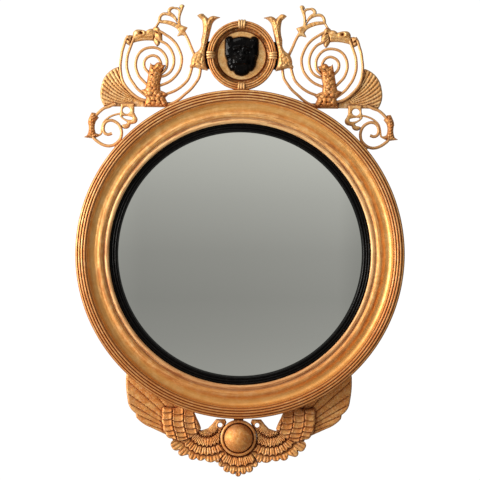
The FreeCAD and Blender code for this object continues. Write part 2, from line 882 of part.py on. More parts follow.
def make_roundel_strap():
    start = crest_back - S.iron_thickness
    low = land_outer + S.strap_inner_margin
    strap = slab("roundel_strap_blank", -S.roundel_strap_half_width, S.roundel_strap_half_width,
                 low, frame_radius + S.roundel_strap_reach, start, S.iron_thickness)
    holes = screw_holes("roundel_strap_hole", roundel_strap_places(), start, S.iron_thickness)
    keep(cut("drilled_roundel_strap", strap, holes), "roundel_strap")


# ---------------------------------------------------------------------------- sides of the crest


def from_roundel(dx, dz):
    """Point given from the edge and middle of the roundel, as a point of the crest plan."""
    x = number_of(S.roundel_radius - S.crest_seat_x) + dx
    z = number_of(roundel_z - crest_seat_z) + dz
    return (x, z)


def crest_carving(name, outlines, start, thickness):
    return carving(name, outlines, S.crest_seat_x, crest_seat_z, start, thickness)


def crest_rod(name, pairs, radius=S.rod_radius, depth=rod_depth):
    return bent_rod(name, pairs, radius, S.crest_seat_x, crest_seat_z, depth)


CALYX = [
    (25, 98), via(17, 103), (10, 103), (-2, 92), via(-9, 97), (-17, 98), (-32, 94),
    via(-18, 86), (-11, 72), via(-6, 50), (1.5, 16), via(2.8, -2), (2, -19), (-3, -33),
    (-1, -38), (17, -34), (29, -30), (41, -32), via(43, -27), (40, -22), via(38, -6),
    (31, 6), via(20, 14), (15, 28), (15, 40), via(11, 70), (14, 88),
]
LOTUS = [
    (-23, 175), (-12, 172), (-17, 182), (-12, 190), via(2, 198), (19, 203), (33, 205), via(37, 198),
    (42, 192), (46, 192), via(40, 200), (36, 208), via(35, 217), (27, 228),
    via(19, 230), (12, 229), via(9, 241), (-4, 243), via(-13, 242), (-19, 239),
    via(-20, 249), (-28, 247), (-26, 243), (-22, 232), via(-18, 215), (-20, 199), (-36, 193),
    (-30, 184), (-36, 173), (-28, 174),
]
LOTUS_UPPER_OPENING = [(-12, 208), via(-6, 221), (6, 231), via(3, 238), (-7, 239), via(-13, 237),
                       (-15, 230)]
LOTUS_LOWER_OPENING = [(-12, 201), via(8, 209), (29, 210), via(29, 218), (22, 224), via(5, 221)]
ACANTHUS = [
    (115, 152), (119, 162), (115, 171), (107, 174), (99, 173), via(96, 184), (87, 188),
    via(76, 187), (66, 184), via(59, 189), (50, 190), via(42, 196), (33, 191), (30, 184),
    (26, 178), (25, 158), (31, 157), via(34, 149), (38, 146), via(43, 151), (48, 160),
    via(75, 160), (102, 153), (104, 146),
]
TRUNK = [
    (69, -5), (67, 11), (65, 18), (71, 28), (81, 36), (67, 41), via(64, 52), (62, 65),
    (59, 82), (58, 94), (55, 104), via(48, 101), (40, 103), (30, 102), (19, 98),
    via(24, 88), (27, 80), (27, 68), (30, 56), (29, 37), (19, 33), (9, 27), (17, 19),
    (10, 4), (12, -5),
]
SHELL_FAN = [
    (134, 95), via(162, 78), (177, 45), via(178, 18), (169, -4), (68, -4), (68, 12),
    (91, 21), via(119, 53), (128, 80),
]
HUSK = [
    (200, -19), (191, -20), (182, -32), (189, -41), via(192, -56), (189, -70), (176, -75),
    (184, -80), (196, -84), (219, -81), (211, -76), via(207, -62), (209, -45), (208, -37),
    (204, -27),
]
PETALS = [
    (127, 3), (127, -14), (130, -23), (129, -29), (123, -35), (110, -43), (114, -48),
    (121, -49), (125, -51), (122, -57), via(114, -59), (105, -54), (103, -48), (93, -46),
    via(86, -38), (89, -29), (94, -19), (94, 3),
]
PETAL_OPENINGS = [
    [(123, -13.5), via(113, -4.5), (103, -13.5), via(113, -22.5)],
    [(124, -28), via(113, -27), (102, -29), via(97, -33), (98.5, -37), via(110, -37),
     (121, -32)],
]


def make_crest_side(roundel_disc):
    bar_low = crest_seat_z - S.crest_bar_below
    bar_start_x = S.crest_seat_x - S.crest_strap_reach_in
    core_disc = rod_forward("crest_seat_disc", 0, 0, 0, core_radius, through)
    bar_blank = slab("crest_bar_blank", bar_start_x, S.crest_seat_x + S.crest_bar_length, bar_low,
                     bar_low + S.crest_bar_height, crest_back, S.crest_bar_thickness)
    bar = cut("crest_bar_body", bar_blank, core_disc)
    keep_pair(bar, "crest_bar")

    calyx = carving("calyx_body", [CALYX], S.roundel_radius, roundel_z, crest_back,
                    S.calyx_thickness)
    keep_pair(calyx, "calyx")
    spine_blank = slab("spine_blank", S.roundel_radius - S.spine_reach_in,
                       S.roundel_radius + S.spine_reach_out, roundel_z - S.spine_half_height,
                       roundel_z + S.spine_half_height, crest_back, S.spine_thickness)
    keep_pair(cut("spine", spine_blank, roundel_disc, calyx), "calyx_spine")

    acanthus = crest_carving("acanthus_body", [ACANTHUS], crest_back, S.acanthus_thickness)
    keep_pair(acanthus, "acanthus")
    trunk = cut("trunk", crest_carving("trunk_body", [TRUNK], crest_back, S.trunk_thickness), bar,
                core_disc)
    keep_pair(trunk, "leafy_trunk")
    fan = cut("fan", crest_carving("fan_body", [SHELL_FAN], crest_back, S.crest_bar_thickness),
              bar, trunk)
    keep_pair(fan, "shell_fan")
    husk = crest_carving("husk_body", [HUSK], crest_back, S.husk_thickness)
    keep_pair(husk, "scroll_husk")
    petals = crest_carving("petals_body", [PETALS] + PETAL_OPENINGS, bar_front, S.petal_thickness)
    keep_pair(petals, "petal_loops")
    lotus_blank = crest_carving("lotus_body", [LOTUS, LOTUS_UPPER_OPENING, LOTUS_LOWER_OPENING],
                                rod_depth - S.lotus_thickness / 2, S.lotus_thickness)
    stem = crest_rod("lotus_stem", [from_roundel(28, -6), (-46, 145), (-39, 162), (-31, 177),
                                    (-25, 188)])
    lotus = cut("lotus", fused("lotus_and_stem", [lotus_blank, stem]), calyx, acanthus)
    keep_pair(lotus, "lotus_leaf")

    rods = doc.addObject("Part::Compound", "scroll_rods_body")
    rods.Links = [
        crest_rod("stem_inner", [from_roundel(36, -26), (-44, 76), (-37, 61), (-22, 46),
                                 (-5, 35), (16, 27)]),
        crest_rod("stem_outer", [from_roundel(15, -28), (-67, 71), (-57, 54), (-45, 39),
                                 (-30, 26), (-20, 17), (-5, 7), (16, -1)]),
        crest_rod("coil_outer", [(116, 162), (120.5, 147), (124.5, 134), (127, 118), (129, 100),
                                 (128, 81), (124, 62), (116, 47), (104, 33), (91, 22), (79, 15),
                                 (64, 11)]),
        crest_rod("coil_second", [(99, 158), (106, 139), (111, 124), (113, 109), (113, 94),
                                  (110, 80), (104, 65), (96, 53), (86, 40), (70, 27)]),
        crest_rod("coil_third", [(62, 50), (72, 60), (82, 71), (88, 84), (91, 97), (90, 110),
                                 (86, 122), (79, 132), (67, 140), (50, 143), (35, 140),
                                 (23, 131), (15, 118), (13, 105), (16, 90), (30, 76)]),
        crest_rod("coil_inner", [(58, 80), (67, 90), (70, 99), (69, 109), (62, 118), (49, 123),
                                 (37, 119), (30, 109), (28, 98)]),
        crest_rod("return_outer", [(34, 184), (16, 174), (3, 165), (-9, 152), (-18, 135),
                                   (-23, 118), (-22, 101), (-17, 85), (-5, 69), (10, 57),
                                   (32, 48)]),
        crest_rod("return_inner", [(31, 160), (16, 152), (5, 140), (-2, 125), (-4, 110),
                                   (-2, 96), (5, 83), (17, 74), (32, 70)]),
    ]
    rods_cut = cut("scroll_rods", rods, calyx, acanthus, trunk, core_disc)
    keep_pair(rods_cut, "scroll_rods")

    scroll_depth = bar_front + S.scroll_radius
    scroll = fused("lower_scroll_rods", [
        crest_rod("scroll_main", [(146, 0), (157, -5), (167.5, -8.5), (175, -13.5), (182, -20),
                                  (188, -27), (198, -40), (200.5, -54.5), (199, -69), (194, -82),
                                  (184, -91.5), (170.5, -99.5), (157, -102.5), (144.5, -100),
                                  (134.5, -93), (127, -83.5), (124.5, -71), (126, -60),
                                  (131, -50), (139, -43), (149, -39), (158.5, -40),
                                  (166, -45.5), (169.5, -54), (169.5, -64), (165, -71.5),
                                  (157, -74), (148.5, -71)], S.scroll_radius, scroll_depth),
        crest_rod("scroll_branch", [(123, -21), (127, -22), (140, -24.5), (152.5, -29.5),
                                    (162, -36), (169.5, -44.5), (173, -55.5), (174.5, -66.5),
                                    (175, -74), (182, -78)], S.branch_radius, scroll_depth),
        crest_rod("scroll_dowel", [(144.5, -100), (138, -105.5), (131, -111)],
                  S.branch_radius, scroll_depth),
    ])
    keep_pair(cut("lower_scroll", scroll, husk, petals, core_disc), "lower_scroll")

    strap_start = crest_back - S.iron_thickness
    middle = crest_seat_z + S.crest_bar_height / 2 - S.crest_bar_below
    strap_blank = slab("crest_strap_blank", bar_start_x, S.crest_seat_x + S.crest_strap_reach_out,
                       middle - S.crest_strap_height / 2, middle + S.crest_strap_height / 2,
                       strap_start, S.iron_thickness)
    holes = screw_holes("crest_strap_hole", crest_strap_places(), strap_start, S.iron_thickness)
    keep_pair(cut("crest_strap", strap_blank, holes), "crest_strap")


def crest_strap_places():
    middle = crest_seat_z + S.crest_bar_height / 2 - S.crest_bar_below
    first = S.crest_seat_x - S.crest_strap_reach_in + S.strap_inner_margin
    last = S.crest_seat_x + S.crest_strap_reach_out - S.strap_inner_margin
    return [(first, middle), (first + S.crest_screw_pitch, middle),
            (S.crest_seat_x + S.crest_screw_outside, middle), (last, middle)]


# ---------------------------------------------------------------------------- apron

WING_BOARD = [
    (272, 140), (281, 104), via(281, 74), (277, 42), via(270, 21), (257, 8), (255, -2),
    via(240, -16), (219, -27), (180, -45), (168, -50), (158, -68), (140, -84), (115, -92),
    (92, -97), (62, -98), (52, -88), (60, -44), (92, -36), (102, -17), (107, -3), (117, 8),
    (134, 14), (140, 55),
]
COVERTS = [
    (187, 25), via(191, 12), (189, 4), via(191, -8), (187, -20), via(187, -32), (181, -40),
    via(176, -50), (165, -53), (152, -57), via(132, -54), (115, -46), (101, -33),
    via(96, -17), (103, -2), (109, 10), (113, 24), (135, 34), (146, 27), (158, 22),
]
LOWER_FEATHERS = [
    (100, -34), (115, -47), via(132, -55), (151, -58), via(167, -62), (166, -75),
    via(158, -83), (147, -81), via(148, -93), (136, -96), (124, -93), via(120, -104),
    (104, -101), via(96, -108), (84, -103), via(72, -112), (58, -108), via(54, -112),
    (46, -106), (36, -94), (26, -84), (30, -50), (36, -26), (30, -12), (33, -4), (56, -4),
    (66, -17), (76, -27), (88, -31),
]
NECK_OPENING = [(40.3, -18.7), via(46, -24.4), (51.7, -18.7), via(46, -13)]
TAIL = [
    (48, -110), via(47, -121), (36, -122), via(34, -134), (21, -134), via(11, -141),
    (5, -135), via(0, -147), (-5, -135), via(-11, -141), (-21, -134), via(-34, -134),
    (-36, -122), via(-47, -121), (-48, -110), (-36, -92), (-30, -80), (30, -80), (36, -92),
]


def apron_strap_places():
    top = land_outer + S.strap_inner_margin * 2
    return [(0, -top), (0, -(top + S.apron_screw_pitch)),
            (0, orb_z + S.orb_screw_spread), (0, orb_z - S.orb_screw_spread)]


def wing_board_places():
    """Screws through each wing board into the outer zone of the core."""
    radius = (land_outer + core_radius) / 2 + S.wing_screw_offset
    return [on_circle(radius, -(S.wing_screw_first_angle + S.wing_screw_pitch_angle * k))
            for k in range(int(number_of(S.wing_screw_count)))]


def make_apron():
    bottom = -frame_radius
    board_start = crest_back - S.wing_board_thickness
    core_disc = rod_forward("apron_seat_disc", 0, 0, 0, core_radius, through)
    board = carving("wing_board_body", [WING_BOARD], 0, bottom, board_start,
                    S.wing_board_thickness)
    keep_pair(board, "wing_board")
    coverts = cut("coverts", carving("coverts_body", [COVERTS], 0, bottom, crest_back,
                                     S.coverts_thickness), core_disc)
    keep_pair(coverts, "wing_coverts")

    ring_back = crest_back + S.orb_back_thickness
    ring_front = crest_back + S.orb_ring_level
    ring_width = S.orb_ring_radius - S.orb_ring_inner_radius
    ring = turned("orb_ring_body", [
        (0, crest_back),
        (S.orb_ring_radius, crest_back),
        (S.orb_ring_radius, ring_front, (bulge_radius(ring_width, S.orb_ring_bulge), CONVEX)),
        (S.orb_ring_inner_radius, ring_front),
        (S.orb_ring_inner_radius, ring_back),
        (0, ring_back),
    ])
    place(ring, 0, 0, orb_z)
    keep(ring, "orb_ring")
    slope = S.orb_radius * S.orb_radius + S.orb_rise * S.orb_rise
    ball_radius = slope / (S.orb_rise * 2)
    orb = turned("orb_body", [
        (0, ring_back),
        (S.orb_radius, ring_back, (ball_radius, CONVEX)),
        (0, ring_back + S.orb_rise),
    ])
    place(orb, 0, 0, orb_z)
    keep(orb, "orb")

    ring_disc = rod_forward("orb_ring_disc", 0, orb_z, 0, S.orb_ring_radius, through)
    feathers_blank = carving("lower_feathers_body", [LOWER_FEATHERS, NECK_OPENING], 0, bottom,
                             crest_back, S.lower_feathers_thickness)
    feathers = cut("lower_feathers", feathers_blank, coverts, ring_disc, core_disc)
    keep_pair(feathers, "lower_feathers")
    tail = cut("tail", carving("tail_body", [TAIL], 0, bottom, crest_back, S.tail_thickness),
               feathers_blank, mirrored(feathers_blank, "feathers_blank_mirrored"), ring_disc)
    keep(tail, "tail_feathers")

    strap_start = crest_back - S.iron_thickness
    strap = slab("apron_strap_blank", -S.apron_strap_half_width, S.apron_strap_half_width,
                 -(frame_radius + S.apron_strap_drop), -(land_outer + S.strap_inner_margin),
                 strap_start, S.iron_thickness)
    holes = screw_holes("apron_strap_hole", apron_strap_places(), strap_start, S.iron_thickness)
    keep(cut("drilled_apron_strap", strap, holes), "apron_strap")


def make_fitting_screws():
    """All screws of the iron straps and wing boards."""
    strap_start = crest_back - S.iron_thickness
    board_start = crest_back - S.wing_board_thickness
    crest = screws("crest_screw", crest_strap_places(), strap_start, S.strap_screw_length)
    wing = screws("wing_screw", wing_board_places(), board_start, S.board_screw_length)
    group = doc.addObject("Part::Compound", "fitting_screw_group")
    group.Links = [
        screws("roundel_screw", roundel_strap_places(), strap_start, S.strap_screw_length),
        screws("apron_screw", apron_strap_places(), strap_start, S.strap_screw_length),
        crest, mirrored(crest, "crest_screw_mirrored"),
        wing, mirrored(wing, "wing_screw_mirrored"),
    ]
    keep(group, "fitting_screws")


make_moulding()
make_slip()
glass_back_edge = make_glass()
make_core()
make_glazing_blocks(glass_back_edge)
make_backboard()
make_hangers()
roundel_disc = make_roundel()
make_roundel_strap()
make_crest_side(roundel_disc)
make_apron()
make_fitting_screws()
doc.recompute()

for obj in doc.Objects:
    if "Invalid" in obj.State or "Error" in obj.State:
        raise RuntimeError(f"{obj.Label} failed: {obj.State}")
for piece in sub_parts:
    if piece.Shape.isNull() or not piece.Shape.isValid() or piece.Shape.Volume <= 0:
        raise RuntimeError(f"{piece.Label} has no valid solid")
for piece in sub_parts:
    piece.Shape.exportStep(f"parts/{piece.Label}.step")
    print(f"{piece.Label}: {len(piece.Shape.Solids)} solid(s), {piece.Shape.Volume / 1000:.1f} cm3")
print(f"{len(sub_parts)} sub-parts")
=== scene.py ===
import math

import bmesh
import bpy
import numpy as np
from bpy.props import FloatProperty, FloatVectorProperty, IntProperty, PointerProperty
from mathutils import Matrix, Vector
from mathutils.geometry import delaunay_2d_cdt


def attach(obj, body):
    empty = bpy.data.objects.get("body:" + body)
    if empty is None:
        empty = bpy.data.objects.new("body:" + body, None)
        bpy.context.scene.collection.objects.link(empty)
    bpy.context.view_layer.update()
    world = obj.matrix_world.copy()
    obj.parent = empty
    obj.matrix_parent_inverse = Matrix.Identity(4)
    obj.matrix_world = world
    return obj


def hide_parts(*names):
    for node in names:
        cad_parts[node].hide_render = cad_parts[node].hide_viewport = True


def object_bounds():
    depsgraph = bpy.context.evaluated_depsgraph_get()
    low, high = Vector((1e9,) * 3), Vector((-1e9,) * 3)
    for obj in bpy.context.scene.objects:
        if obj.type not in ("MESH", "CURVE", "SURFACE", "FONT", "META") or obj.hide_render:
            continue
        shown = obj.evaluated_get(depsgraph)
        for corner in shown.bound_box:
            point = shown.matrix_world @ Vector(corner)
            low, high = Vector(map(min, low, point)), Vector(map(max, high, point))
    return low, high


bl_info = {
    "name": "Girandole mirror",
    "version": (1, 0, 0),
    "blender": (4, 5, 0),
    "location": "3D View > Sidebar > Girandole",
    "description": "Dresses the packed girandole mirror in carving, gilding and glass",
    "category": "Add Mesh",
}

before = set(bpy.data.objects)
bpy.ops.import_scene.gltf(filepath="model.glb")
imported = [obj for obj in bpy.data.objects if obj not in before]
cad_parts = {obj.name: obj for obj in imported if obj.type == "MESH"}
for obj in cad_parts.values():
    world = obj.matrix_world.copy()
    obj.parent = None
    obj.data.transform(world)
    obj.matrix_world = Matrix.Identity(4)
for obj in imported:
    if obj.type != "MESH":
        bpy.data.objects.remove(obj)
CAD_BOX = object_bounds()

# Plans are in millimetres, as in the part's source: u or r across, v up, depth out from the wall.
MM = 0.001
SIDES = (("right", 1), ("left", -1))

# Radii on the face of the round frame, from its edge inwards.
FACE_OUTER = 406.4
FACE_REEDS = 4
REEDS_INNER = 380.4
COVE_OUTER = 378.2
TORUS_OUTER = 354.7
TORUS_INNER = 338.7
BEAD_OUTER = 335.7
BEAD_INNER = 324.1

# Bands of tone on the round frame: name, radii where a band starts and is full, shares there.
FRAME_BANDS = (
    ("reed", REEDS_INNER, FACE_OUTER, 0, FACE_REEDS),
    # painted highlight in part: the bead band is paled as well as rubbed
    ("bead", TORUS_INNER + 0.8, TORUS_INNER - 1.2, 0, 1),
    ("handled", TORUS_OUTER + 1.8, TORUS_OUTER - 1.2, 0.6, 1),
    ("dulled", TORUS_OUTER + 1.8, TORUS_OUTER - 1.2, 0, 0.16),
    # painted shade tint: the cove band takes a yellower gold for how the cove's shading looks
    ("cove top", REEDS_INNER + 1.1, COVE_OUTER - 0.2, 0, 1),
    ("cove foot", TORUS_OUTER - 2.7, TORUS_OUTER + 3.3, 0, 0.3),
)
STREAK_CIRCLE = 14.0  # a turned streak pattern runs once round a circle of this radius
GRAIN_STRETCH = 0.06  # scale of the pine's grain along a board

# ---------------------------------------------------------------------------- sizes and colours


def linear(code):
    """Linear colour of an sRGB hex value."""
    channels = [int(code[i:i + 2], 16) / 255 for i in (0, 2, 4)]
    return tuple(c / 12.92 if c <= 0.04045 else ((c + 0.055) / 1.055) ** 2.4 for c in channels)


def colour(name, text, code):
    """Colour property with an sRGB hex default."""
    return FloatVectorProperty(name=name, description=text, subtype="COLOR", size=3, min=0, max=1,
                               default=linear(code))


def length(name, text, millimetres):
    """Length property with a default in millimetres."""
    return FloatProperty(name=name, description=text, unit="LENGTH", precision=5, min=0,
                         default=millimetres * MM)


class MirrorSizes(bpy.types.PropertyGroup):
    """Sizes of what this script adds to the solids."""
    steps_round: IntProperty(name="Steps round", description="Facets round a turned ring",
                             default=320, min=24)
    carving_step: length("Carving step", "Spacing of points on a carved face", 1.7)
    fine_step: length("Fine carving step", "Spacing of points on small carvings", 1.2)
    rib_depth: length("Shell rib depth", "Depth of the grooves in the shell fans", 3.4)
    feather_depth: length("Feather step", "Drop from one long feather to the next", 2.8)
    scale_depth: length("Scale depth", "Relief of the short scale feathers", 4.2)
    rod_radius: length("Rod radius", "Radius of the scroll rods with gesso", 3.6)
    scroll_radius: length("Lower scroll radius", "Radius of the lower scroll's rod", 3.9)
    branch_radius: length("Branch radius", "Radius of the thin branch rods", 2.6)


class MirrorFinish(bpy.types.PropertyGroup):
    """Colours of the materials."""
    gold: colour("Gold leaf", "Gold on the mouldings and crest", "EFB468")
    pale_gold: colour("Pale gold", "Thick or burnished leaf", "FBD190")
    warm_gold: colour("Warm gold", "Thin leaf over clay", "D0965A")
    apron_gold: colour("Apron gold", "Redder gold on the apron", "D88C44")
    apron_pale: colour("Apron pale gold", "Thick leaf on the apron", "EDB56C")
    rod_gold: colour("Rod gold", "Gold on the scroll rods", "E6A866")
    # painted shade: dark gold for the shadow in the roundel's cove
    cove_shade_gold: colour("Dim gold", "Toned gold in the roundel's cove", "7A5020")
    # painted shade tint: the yellower gold of the round frame's cove stands in for its shading
    cove_shade_tint: colour("Cove gold", "Yellow gold in the round frame's cove", "F2B860")
    # painted shade: browner towards the bottom of the round frame
    lower_shade: colour("Low gold", "Browner gold on the lower half of the round frame", "B2601C")
    # painted highlight in part: this cream lightens the convex high points, besides the random
    # flecks of worn leaf
    cream_and_highlight: colour("Raised leaf", "Cream of the burnished high points", "F8DDBC")
    # painted highlight in part: a pale band all round the bead, besides rubbed leaf
    pale_bead_and_highlight: colour("Rubbed bead", "Pale gesso through the bead's leaf", "F4CE9A")
    size: colour("Size", "Brown size in the pits of the leaf", "A04C1A")
    rubs: colour("Rubs", "Clay in streaks where the frame is handled", "A65A28")
    # painted shade as well as red clay: dark red laid in the valleys between the reeds
    groove_clay_and_shade: colour("Grooves", "Red clay along the grooves of the reeds", "A23A06")
    bole: colour("Red clay", "Clay where the leaf has rubbed through", "8E4423")
    # painted shade as well as old size and dust: brown laid into the hollows and creases where
    # shade falls
    hollow_shade_and_dust: colour("Hollows", "Old size and dust in the hollows", "742A04")
    wash: colour("Ochre wash", "Thin size on the ungilded backs", "9A6C36")
    ebony: colour("Ebonising", "Black stain under polish", "060505")
    worn_ebony: colour("Thin ebonising", "Brown where the stain is thin", "14100D")
    silvering: colour("Silvering", "Tint of the looking glass", "DADBD6")
    pine: colour("Pine", "Bare wood of the back", "8E6A45")
    old_pine: colour("Old pine", "Darker clouds in the bare wood", "5E4128")
    latewood: colour("Latewood", "Dark lines of the grain", "3F2A1A")


def settings():
    """Sizes and finish that the panel shows."""
    return bpy.context.scene.mirror_sizes, bpy.context.scene.mirror_finish


# ---------------------------------------------------------------------------- materials


def add(tree, kind, links=None, **values):
    """New node with its settings, and its inputs linked to a socket or set to a value."""
    node = tree.nodes.new(kind)
    for name, value in values.items():
        setattr(node, name, value)
    for key, value in (links or {}).items():
        if isinstance(key, str):
            socket = next(s for s in node.inputs if s.name == key and s.enabled)
        else:
            socket = node.inputs[key]
        if isinstance(value, bpy.types.NodeSocket):
            tree.links.new(value, socket)
        else:
            socket.default_value = value
    return node


def new_material(name):
    """Empty material, its node tree, and its Object coordinates and Normal."""
    material = bpy.data.materials.new(name)
    material.use_nodes = True
    tree = material.node_tree
    tree.nodes.clear()
    coordinates = add(tree, "ShaderNodeTexCoord").outputs
    return material, tree, coordinates["Object"], coordinates["Normal"]


def noise_links(where, millimetres, detail, roughness=0.55):
    """Inputs of a noise whose blotches are about that many millimetres across."""
    return {"Vector": where, "Scale": 1 / (millimetres * MM), "Detail": detail,
            "Roughness": roughness}


def coated(tree, tone, coats):
    """Tone under further coats. Each coat is (pattern, the pattern's value where the coat starts,
    its value where the coat is full, the full coat's share, colour)."""
    for pattern, start, full, share, shade in coats:
        cover = add(tree, "ShaderNodeMapRange", {"Value": pattern, "From Min": start,
                                                 "From Max": full, "To Max": share}).outputs[0]
        tone = add(tree, "ShaderNodeMix", {0: cover, 6: tone, 7: (*shade, 1.0)},
                   data_type="RGBA").outputs[2]
    return tone


def round_the_axis(tree, where):
    """Coordinates that hold still round the frame's axis, so that noise on them is drawn out
    into streaks along a turned moulding."""
    parts = add(tree, "ShaderNodeSeparateXYZ", {0: where})
    flat = add(tree, "ShaderNodeCombineXYZ", {0: parts.outputs[0], 2: parts.outputs[2]})
    radius = add(tree, "ShaderNodeVectorMath", {0: flat.outputs[0]}, operation="LENGTH")
    across = add(tree, "ShaderNodeVectorMath", {0: flat.outputs[0]}, operation="NORMALIZE")
    slow = add(tree, "ShaderNodeVectorMath", {0: across.outputs[0], 3: STREAK_CIRCLE * MM},
               operation="SCALE")
    out = add(tree, "ShaderNodeMath", {0: radius.outputs[1], 1: parts.outputs[1]},
              operation="SUBTRACT")
    lift = add(tree, "ShaderNodeCombineXYZ", {1: out.outputs[0]})
    both = add(tree, "ShaderNodeVectorMath", {0: slow.outputs[0], 1: lift.outputs[0]})
    return both.outputs[0]


def frame_tones(tree, where, tone, gleam):
    """Marks on the round frame: red clay along the grooves of its reeds, with painted shade there,
    a pale bead that is partly a painted highlight, clay rubbed into the torus where it is handled,
    a yellower painted shade tint in the cove, and painted shade that browns the lower half."""
    finish = settings()[1]
    parts = add(tree, "ShaderNodeSeparateXYZ", {0: where}).outputs
    flat = add(tree, "ShaderNodeCombineXYZ", {0: parts[0], 2: parts[2]}).outputs[0]
    radius = add(tree, "ShaderNodeVectorMath", {0: flat}, operation="LENGTH").outputs[1]
    drawn = round_the_axis(tree, where)
    clay_noise = add(tree, "ShaderNodeTexNoise", noise_links(drawn, 2.2, 3)).outputs[0]
    rubs_noise = add(tree, "ShaderNodeTexNoise", noise_links(drawn, 2.6, 5, 0.65)).outputs[0]
    bands = {name: add(tree, "ShaderNodeMapRange", {
        "Value": radius, "From Min": start * MM, "From Max": end * MM, "To Min": least,
        "To Max": most}).outputs[0] for name, start, end, least, most in FRAME_BANDS}
    near = add(tree, "ShaderNodeMath", {0: bands["reed"], 1: 0.5}, operation="PINGPONG").outputs[0]
    groove_clay_and_shade = add(tree, "ShaderNodeMapRange",
                 {"Value": near, "From Min": 0.4, "From Max": 0.14}).outputs[0]
    patchy = add(tree, "ShaderNodeMapRange", {"Value": clay_noise, "From Min": 0.3,
                                              "From Max": 0.55, "To Min": 0.4}).outputs[0]
    clay = add(tree, "ShaderNodeMath", {0: groove_clay_and_shade, 1: patchy}, operation="MULTIPLY").outputs[0]
    outside = add(tree, "ShaderNodeMath", {0: radius, 1: REEDS_INNER * MM},
                  operation="GREATER_THAN").outputs[0]
    clay = add(tree, "ShaderNodeMath", {0: clay, 1: outside}, operation="MULTIPLY").outputs[0]
    rubs = add(tree, "ShaderNodeMapRange", {"Value": rubs_noise, "From Min": 0.5,
                                            "From Max": 0.6, "To Max": 0.7}).outputs[0]
    rubs = add(tree, "ShaderNodeMath", {0: rubs, 1: bands["handled"]},
               operation="MULTIPLY").outputs[0]
    cove = add(tree, "ShaderNodeMath", {0: bands["cove top"], 1: bands["cove foot"]},
               operation="MULTIPLY").outputs[0]
    tone = coated(tree, tone, (
        # red clay in the reed grooves, darkened there as painted shade
        (clay, 0, 1, 1.0, finish.groove_clay_and_shade),
        # pale bead, partly a painted highlight
        (bands["bead"], 0, 1, 0.6, finish.pale_bead_and_highlight),
        (rubs, 0, 1, 1.0, finish.rubs),
        # painted shade: the frame browns towards the bottom
        (parts[2], 100 * MM, -420 * MM, 0.55, finish.lower_shade),
        # painted shade tint in the cove
        (cove, 0, 1, 1.0, finish.cove_shade_tint),
    ))
    gleam = add(tree, "ShaderNodeMath", {0: bands["dulled"], 1: gleam}).outputs[0]
    return tone, gleam


